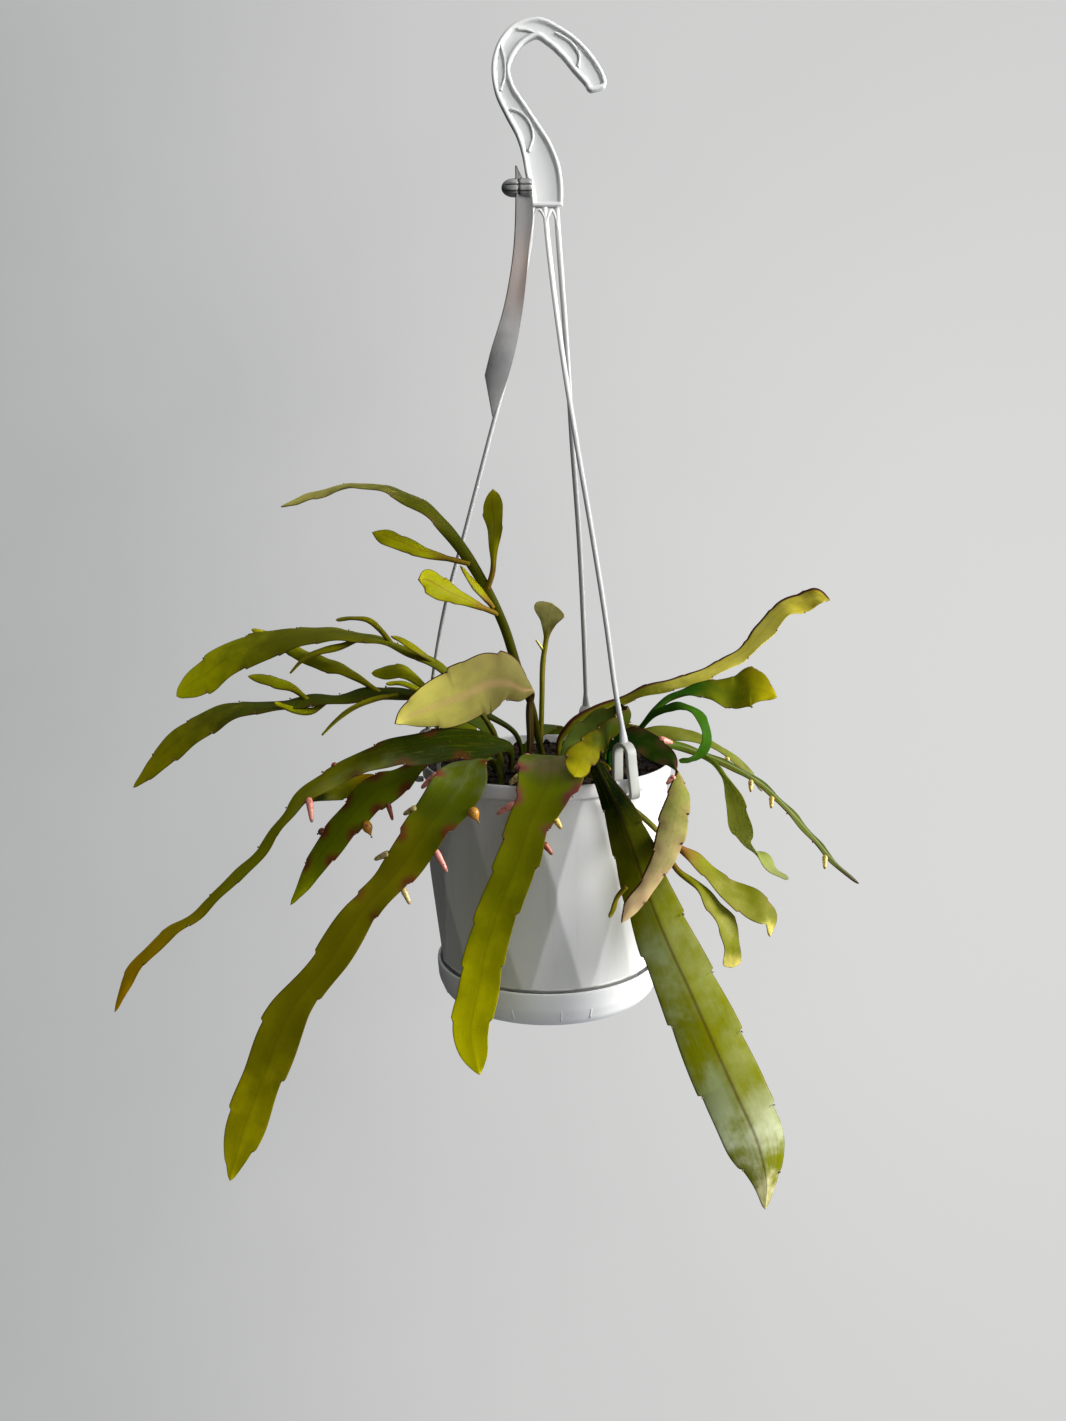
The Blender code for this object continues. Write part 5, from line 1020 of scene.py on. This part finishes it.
def facet_planes():
    """Normals and offsets of the hanging and standing triangles and of the diamonds."""
    half_pitch = math.radians(180.0 / FACET_COUNT)
    half = math.radians(FACET_HALF_ANGLE)
    slant = math.cos(half_pitch - half)

    def plane(rise, near, far, height, turn):
        return rise, near - far, rise * near + (near - far) * height, turn

    planes = []
    for tip, (radius, height) in ((UPPER_TIP, FACET_TOP), (LOWER_TIP, FACET_LOW)):
        part_way = (FACET_TOP[1] - tip) / (FACET_TOP[1] - FACET_LOW[1])
        flat = slant * (FACET_TOP[0] + (FACET_LOW[0] - FACET_TOP[0]) * part_way)
        tip_radius = flat / math.cos(half_pitch)
        near = radius * math.cos(half)
        planes.append(plane(tip - height, near, tip_radius, height, 0.0))
    near, far = slant * FACET_TOP[0], slant * FACET_LOW[0]
    planes.append(plane(FACET_LOW[1] - FACET_TOP[1], near, far, FACET_TOP[1], half_pitch))
    return planes


def facet_radius(angle, height):
    """Radius of the pot's faceted body: a soft minimum, (sum r^-n)^(-1/n), of the
    distances at which the upright line at this angle meets each facet's plane."""
    power = MEAN_RADIUS * math.log(2.0) / EDGE_SOFTNESS
    total = np.zeros(np.broadcast(angle, height).shape)
    for out, rise, offset, turn in facet_planes():
        for k in range(FACET_COUNT):
            middle = math.radians(FACET_TURN + 360.0 * k / FACET_COUNT) + turn
            lean = np.cos(angle - middle)
            reach = (offset - rise * height) / (out * np.maximum(lean, 0.25))
            reach = np.where((lean > 0.5) & (reach > 0.0), reach, FAR_OFF)
            total += (reach / MEAN_RADIUS) ** -power
    return MEAN_RADIUS * total ** (-1.0 / power)


def make_pot():
    """Rim, faceted body, foot and lining as one closed skin, from the floor inside, over
    the rim, down the facets and in under the foot."""
    inside = rounded([(0.0, -129.0), (52.4, -129.0), (53.0, -117.5), (58.4, -109.5), (64.5, -15.4),
                      (68.0, -9.4), (68.0, -0.6), (68.5, 0.0), (69.4, 0.0), (70.0, -0.8), (70.0, -7.0),
                      (69.6, -7.5), (68.6, -7.6)], 1.2)
    rows = np.linspace(-7.9, -113.2, 124)[:, None]
    outside = rounded([(61.6, -113.5), (59.0, -115.5), (55.2, -119.5), (55.0, -130.4), (54.0, -131.5),
                       (0.0, -131.5)], 1.5)
    angle = angles(480)
    heights = np.concatenate([inside[:, 1:], rows, outside[:, 1:]])
    radius = np.concatenate([inside[:, :1] + 0.0 * angle, facet_radius(angle, rows),
                             outside[:, :1] + 0.0 * angle])
    points = round_points(np.maximum(radius, 0.5), heights, angle)
    finish = plastic_finish("pot_detail", tone(236, 236, 236), tone(214, 213, 208), 0.35, specks=0.9)
    piece("pot_shell", [wrapped(points)], (finish,), "pot")


def make_saucer():
    """The tray's profile carried round, with threes of short upright ribs low on its wall."""
    profile = rounded([(0.5, -131.9), (57.0, -131.8), (58.6, -129.9), (61.6, -123.8), (62.7, -115.2),
                       (63.0, -114.7), (64.0, -114.6), (64.5, -115.2), (64.5, -117.6), (63.9, -125.0),
                       (61.4, -131.2), (58.2, -134.7), (56.0, -135.5), (0.5, -135.5)], 1.6)
    # Painted light: the tray is whiter than the pot, standing in for light bounced up from below.
    finish = plastic_finish("saucer_painted_bounce_light", tone(250, 251, 252), tone(236, 237, 238), 0.2)
    parts = [wrapped(round_points(profile[:, :1], profile[:, 1:], angles(192)))]
    path = np.array([(61.2, -130.9), (62.2, -128.4), (63.0, -126.4), (63.5, -124.6)])
    outline = soft_box(np.full(4, 0.45), 0.55, 0.25)
    for quarter in range(4):
        for turn in RIB_TURNS:
            route, sides = upright(path, turn + 90.0 * quarter)
            parts.append(carried(route, outline, sides))
    piece("saucer_shell", parts, (finish,), "saucer")


def uneven(x, y, seed, scale):
    """A steady random relief: the sum of 24 sine waves of random heading and phase."""
    random = np.random.default_rng(seed)
    total = np.zeros(np.broadcast(x, y).shape)
    for k in range(24):
        heading, phase = random.uniform(0.0, 2.0 * math.pi, 2)
        rate = scale * random.uniform(0.4, 2.2)
        total += np.sin((x * math.cos(heading) + y * math.sin(heading)) * rate + phase) / 24.0 ** 0.5
    return total


def soil_level(x, y):
    """Height of the soil above the rim: lower near the wall, with a broad relief and a fine one."""
    bed = -3.4 - 1.6 * smooth(np.hypot(x, y), 24.0, 60.0)
    return bed + 0.7 * uneven(x, y, 5, 0.35) + 0.35 * uneven(x, y, 6, 1.2)


def make_soil():
    radius = np.concatenate([np.linspace(0.5, 67.4, 70), [67.5, 67.4, 64.0, 62.0, 0.5]])[:, None]
    angle = angles(160)
    height = soil_level(radius * np.cos(angle), radius * np.sin(angle))
    height[-4:] = np.array([-9.0, -12.0, -16.0, -16.0])[:, None]
    bed = wrapped(round_points(radius, height, angle))
    random = np.random.default_rng(11)
    count = 620
    turn = random.uniform(0.0, 2.0 * math.pi, count)
    reach = 66.0 * np.sqrt(random.uniform(0.0, 1.0, count))
    x, y = reach * np.cos(turn), reach * np.sin(turn)
    size = random.uniform(0.7, 2.4, count)[:, None] * random.uniform(0.5, 1.2, (count, 3))
    centers = np.stack([x, y, soil_level(x, y) + 0.2 * size[:, 2] - HANG_DROP], -1)
    crumbs = copies(ball(4, 7), centers, size, random.uniform(-1.5, 1.5, (count, 2)), 12, 0.25)
    piece("potting_mix_bed", [bed, crumbs], (soil_finish(),), "soil")


# ---------------------------------------------------------------- hanger, tag and peg

HOOK_END = 2.6            # radius of the corners at the hook's free end
STRAND_HALF = (1.55, 1.2)  # half width along the pot's rim and across it
FACING = (0.0, 1.0, 0.0)  # square to the flat hook
HOOK, CLIP, STRAND = range(3)    # places of the hanger's finishes


def hook_skin():
    """I-section hook and plate: raised edges and a thin web, filled in at both ends."""
    rows = catmull_rom([(x, 0.0, z, half) for x, z, half in HOOK_LINE], 80)
    run = along(rows)
    places = np.concatenate([np.linspace(0.0, 4.0, 17)[:-1], np.linspace(4.0, run[-1] - 3.0, 560),
                             np.linspace(run[-1] - 2.8, run[-1], 12)])
    ahead = np.gradient(rows[:, :3], run, axis=0)
    rows = resample(np.hstack([rows, ahead]), places, run)
    edge = np.array([(0.0, 0.0), (0.0, 2.0), (0.15, 2.5), (0.45, 2.83), (0.95, 3.0), (1.5, 2.95),
                     (1.85, 2.7), (2.1, 2.3), (2.4, 1.8), (2.65, 1.4), (3.0, 1.22), (3.5, 1.15)])
    inset, level = edge[None, :, 0], edge[None, :, 1]
    ends = np.minimum(places, run[-1] - places)[:, None]
    filled = 1.0 - smooth(ends, 1.7, 2.3)
    level = np.where(inset > 0.9, level + (2.95 - level) * filled, level)
    level = level * (0.75 + 0.25 * smooth(ends, 0.0, 0.5))
    curve = np.clip(1.0 - places / HOOK_END, 0.0, 1.0)[:, None]
    half = rows[:, 3:4] - HOOK_END * (1.0 - np.sqrt(1.0 - curve ** 2))
    reach = np.maximum(half - inset, 0.1)
    web = level[:, -1:]
    quarter = [(reach, level), (0.0 * web, web), (-reach[:, ::-1], level[:, ::-1]),
               (-reach[:, 1:], -level[:, 1:]), (0.0 * web, -web), (reach[:, :0:-1], -level[:, :0:-1])]
    outline = np.stack([np.hstack([a for a, b in quarter]), np.hstack([b for a, b in quarter])], -1)
    sides = np.cross(FACING, unit(rows[:, 4:]))
    return wrapped(set_out(rows[:, :3], outline, sides, np.array([FACING])), finish=HOOK)


def rib_skin(route):
    """A low rounded ridge along a route of (x, y, z)."""
    rows = catmull_rom(route, 16)
    sides = np.cross(FACING, unit(np.gradient(rows, axis=0)))
    return carried(rows, soft_box(np.full(len(rows), 0.6), 1.2, 0.5), sides, HOOK)


def strand_skin(route):
    """Oval strand, flared into a flat collar where it meets its clip."""
    rows = catmull_rom(route, 80)
    run = along(rows)
    places = np.concatenate([np.linspace(0.0, run[-1] - 14.0, 90),
                             np.linspace(run[-1] - 13.2, run[-1], 18)])
    route = resample(rows, places, run)
    left = (run[-1] - places)[:, None]
    angle = angles(16)
    flare = 1.0 + 0.75 * smooth(-left, -12.0, -1.0)
    outline = np.stack([STRAND_HALF[0] * flare * np.cos(angle),
                        STRAND_HALF[1] * (0.6 + 0.4 * flare) * np.sin(angle)], -1)
    middle = route[-1] * np.array([1.0, 1.0, 0.0])
    tangent = np.array([-middle[1], middle[0], 0.0])
    route = route - np.array([0.0, 0.0, HANG_DROP])
    return carried(route, outline, np.broadcast_to(tangent, route.shape), STRAND)


def clip_skin(angle):
    """Inverted U over the rim: a round-cornered bar that slants up the outside, goes over and
    down inside, with a toe turned in under the rim's band."""
    arch = [(66.25 + 5.25 * math.cos(a), 12.6 + 5.6 * math.sin(a)) for a in np.linspace(0.0, math.pi, 15)]
    path = rounded([(69.6, -9.2), (74.8, -9.2), (72.0, 8.0)], 2.4, 6)
    path = np.vstack([path, arch, [(61.0, 4.0), (61.0, -11.6)]])
    run = along(path)
    places = np.linspace(0.0, run[-1], 90)
    route, sides = upright(resample(path, places, run), angle)
    ends = np.minimum(places, run[-1] - places)
    trim = 0.45 * (1.0 - smooth(ends, 0.0, 0.8))
    return carried(route, soft_box(3.2 - trim, 1.1 - trim, 0.55), sides, CLIP)


def make_hanger():
    parts = [hook_skin()] + [strand_skin(route) for route in STRANDS]
    parts += [clip_skin(angle) for angle in CLIP_ANGLES]
    parts += [rib_skin([(x, y, z) for x, z in route]) for route in HOOK_RIBS for y in (-1.45, 1.45)]
    parts += [rib_skin(route) for route in STRAND_ARCHES]
    finishes = (
        plastic_finish("hanger_detail", tone(216, 216, 214), tone(204, 206, 206), 0.12, strength=0.0),
        # Painted shade: the clips are the hanger's plastic in a darker grey.
        plastic_finish("clip_painted_shade", tone(162, 163, 156), tone(148, 150, 144), 0.12, rough=0.4,
                       strength=0.0),
        strand_finish())
    piece("hanger_skin", parts, finishes, "hanger")


def make_tag():
    """Thin flat strip along the tag's line, square to its arms and not to its route, so that
    its slanted lower end keeps its point."""
    rows = catmull_rom([(*center, *arm) for center, arm in TAG_LINE], 10)
    run = along(rows)
    rows = resample(rows, np.linspace(0.0, run[-1], 120), run)
    arms, forward = rows[:, 3:], unit(np.gradient(rows[:, :3], axis=0))
    half = np.linalg.norm(arms, axis=1)
    outline = soft_box(np.maximum(half, 0.45), 0.36, 0.2, 3)
    route = rows[:, :3] - np.array([0.0, 0.0, HANG_DROP])
    points = set_out(route, outline, unit(arms), unit(np.cross(forward, arms)))
    share = np.linspace(0.0, 1.0, len(rows))[:, None] + 0.0 * outline[..., 0]
    piece("tag_strip", [wrapped(points, dict(share=share))], (tag_finish(),), "plant_tag")


def make_peg():
    """A bullet-shaped peg through the tag's slot: |y|^3 + |z|^3 in section, rounded to its left
    end, with grooves run along it."""
    low, high = (np.array(corner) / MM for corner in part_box("tag_peg"))
    middle, half = 0.5 * (low + high), 0.5 * (high - low)
    u = np.concatenate([np.linspace(0.002, 0.12, 14)[:-1], np.linspace(0.12, 0.998, 26)])[:, None]
    a = angles(96)
    nose = np.clip(1.0 - u / 0.42, 0.0, 1.0)
    bullet = np.sqrt(np.clip(1.0 - nose ** 2.2, 0.0, 1.0)) * (1.0 - 0.1 * smooth(u, 0.9, 1.0))
    square = (abs(np.cos(a)) ** 3 + abs(np.sin(a)) ** 3) ** (-1.0 / 3.0)
    groove = smooth(abs(np.sin(4.0 * a + 0.4)), 0.45, 0.1) * smooth(u, 0.06, 0.2)
    groove = np.maximum(groove, smooth(abs(u - 0.56), 0.03, 0.015) + 0.0 * a)
    reach = bullet * square * (1.0 - 0.14 * groove)
    points = middle + half * np.stack([2.0 * u - 1.0 + 0.0 * a, reach * np.cos(a), reach * np.sin(a)], -1)
    skin = wrapped(points, dict(groove=groove))
    piece("tag_peg_lobes", [skin], (peg_finish(),), "tag_peg")


# ---------------------------------------------------------------- stage

CAMERA_PLACE = (-0.0093, -0.6657, -0.2328)
CAMERA_YAW, CAMERA_PITCH, CAMERA_ROLL = 0.0031, 0.1738, -0.0133
FLOOR_LEVEL = -1.15
FLOOR_RADIUS = 14.0
# Painted light and shade on the plain wall: darker to the left, lit to the right.
WALL_LEFT, WALL_RIGHT, WALL_FAR = tone(162, 164, 164), tone(218, 218, 217), tone(196, 198, 196)


def aim(thing, right, up, ahead, place):
    """Stand a camera or a light at a place, to look ahead."""
    turn = np.eye(4)
    turn[:3] = np.stack([right, up, -ahead, place], axis=1)
    thing.matrix_world = Matrix(turn.tolist())


def make_camera():
    yaw, pitch, roll = CAMERA_YAW, CAMERA_PITCH, CAMERA_ROLL
    ahead = np.array([math.sin(yaw) * math.cos(pitch), math.cos(yaw) * math.cos(pitch), -math.sin(pitch)])
    right = np.array([math.cos(yaw), -math.sin(yaw), 0.0])
    up = np.cross(right, ahead)
    right, up = math.cos(roll) * right + math.sin(roll) * up, math.cos(roll) * up - math.sin(roll) * right
    data = bpy.data.cameras.new("camera")
    data.lens, data.sensor_fit, data.sensor_height = 30.43, "VERTICAL", 36.0
    data.clip_start, data.clip_end = 0.02, 60.0
    camera = linked("camera", data)
    aim(camera, right, up, ahead, CAMERA_PLACE)
    bpy.context.scene.camera = camera


def area_light(name, place, target, size, power, color=(1.0, 1.0, 1.0), spread=180.0):
    data = bpy.data.lights.new(name, "AREA")
    data.shape, data.size, data.energy, data.color = "DISK", size, power, color
    data.spread = math.radians(spread)
    light = linked(name, data)
    ahead = unit(np.array(target, float) - np.array(place, float))
    right = unit(np.cross(ahead, [0.0, 0.0, 1.0]))
    aim(light, right, np.cross(right, ahead), ahead, place)
    light.visible_camera = False


def wall_tones(f, heading):
    """The pale wall in painted light and shade: brightest at the middle right, where the room's light
    falls on it, darker towards the left, with faint clouds, by the way one looks.
    """
    across, above = (f.add("SeparateXYZ", {"Vector": heading}, axis) for axis in "XZ")
    cloud = (f.noise(5.0, 4.0, where=heading) - 0.5) * 0.25
    wall = f.blend((across + cloud * 0.6).step(-0.72, 0.36), WALL_LEFT, WALL_RIGHT)
    return f.blend(abs(above + 0.2).step(0.1, 0.75) * across.step(-0.3, 0.3) * 0.6, wall, WALL_FAR)


def make_floor():
    """A wide disc that glows as softly as the wall behind it, so that no edge shows."""
    verts = [(FLOOR_RADIUS * math.cos(a), FLOOR_RADIUS * math.sin(a), FLOOR_LEVEL) for a in angles(96)[0]]
    mesh = bpy.data.meshes.new("floor")
    mesh.from_pydata(verts, [], [tuple(range(len(verts)))])
    floor = linked("floor", mesh)
    paper = Finish("floor_paper", Roughness=1.0, Specular_IOR_Level=0.0, Base_Color=(0.0, 0.0, 0.0, 1.0),
                   Emission_Strength=1.0)
    ahead = paper.add("VectorMath", {0: paper.place(), 1: tuple(-value for value in CAMERA_PLACE)})
    heading = paper.add("VectorMath", {0: ahead}, operation="NORMALIZE")
    paper.link(wall_tones(paper, heading), "Emission Color")
    mesh.materials.append(paper.material)
    floor.visible_diffuse = floor.visible_glossy = False


def make_room():
    """The room: a pale wall to look at, and light that comes mostly from the right and above."""
    room = Finish("soft_room", "worlds", "Background")
    heading = room.add("TexCoord", {}, "Generated")
    across = room.add("SeparateXYZ", {"Vector": heading}, "X")
    above = room.add("SeparateXYZ", {"Vector": heading}, "Z")
    light = room.blend(across.step(-0.6, 0.9), tone(31, 33, 38), tone(212, 215, 220))
    light = room.blend(above.step(0.2, 0.95), light, tone(180, 182, 186))
    seen = room.add("LightPath", {}, "Is Camera Ray")
    room.link(room.blend(seen, light, wall_tones(room, heading)), "Color")
    bpy.context.scene.world = room.material
    bpy.context.scene.view_settings.view_transform = "Standard"
    middle = (0.0, 0.0, -0.38)
    area_light("key", (1.70, -0.25, 0.12), middle, 1.0, 56.0, (1.0, 0.985, 0.96))
    area_light("front_fill", (0.3, -1.6, 0.9), middle, 1.0, 1.0)
    area_light("hook_fill", (0.30, -0.36, 0.14), (0.0, 0.0, -0.04), 0.15, 0.18, spread=56.0)


make_camera()
make_floor()
make_room()
make_hanger()
make_tag()
make_peg()
make_pot()
make_saucer()
make_soil()
make_shoots()
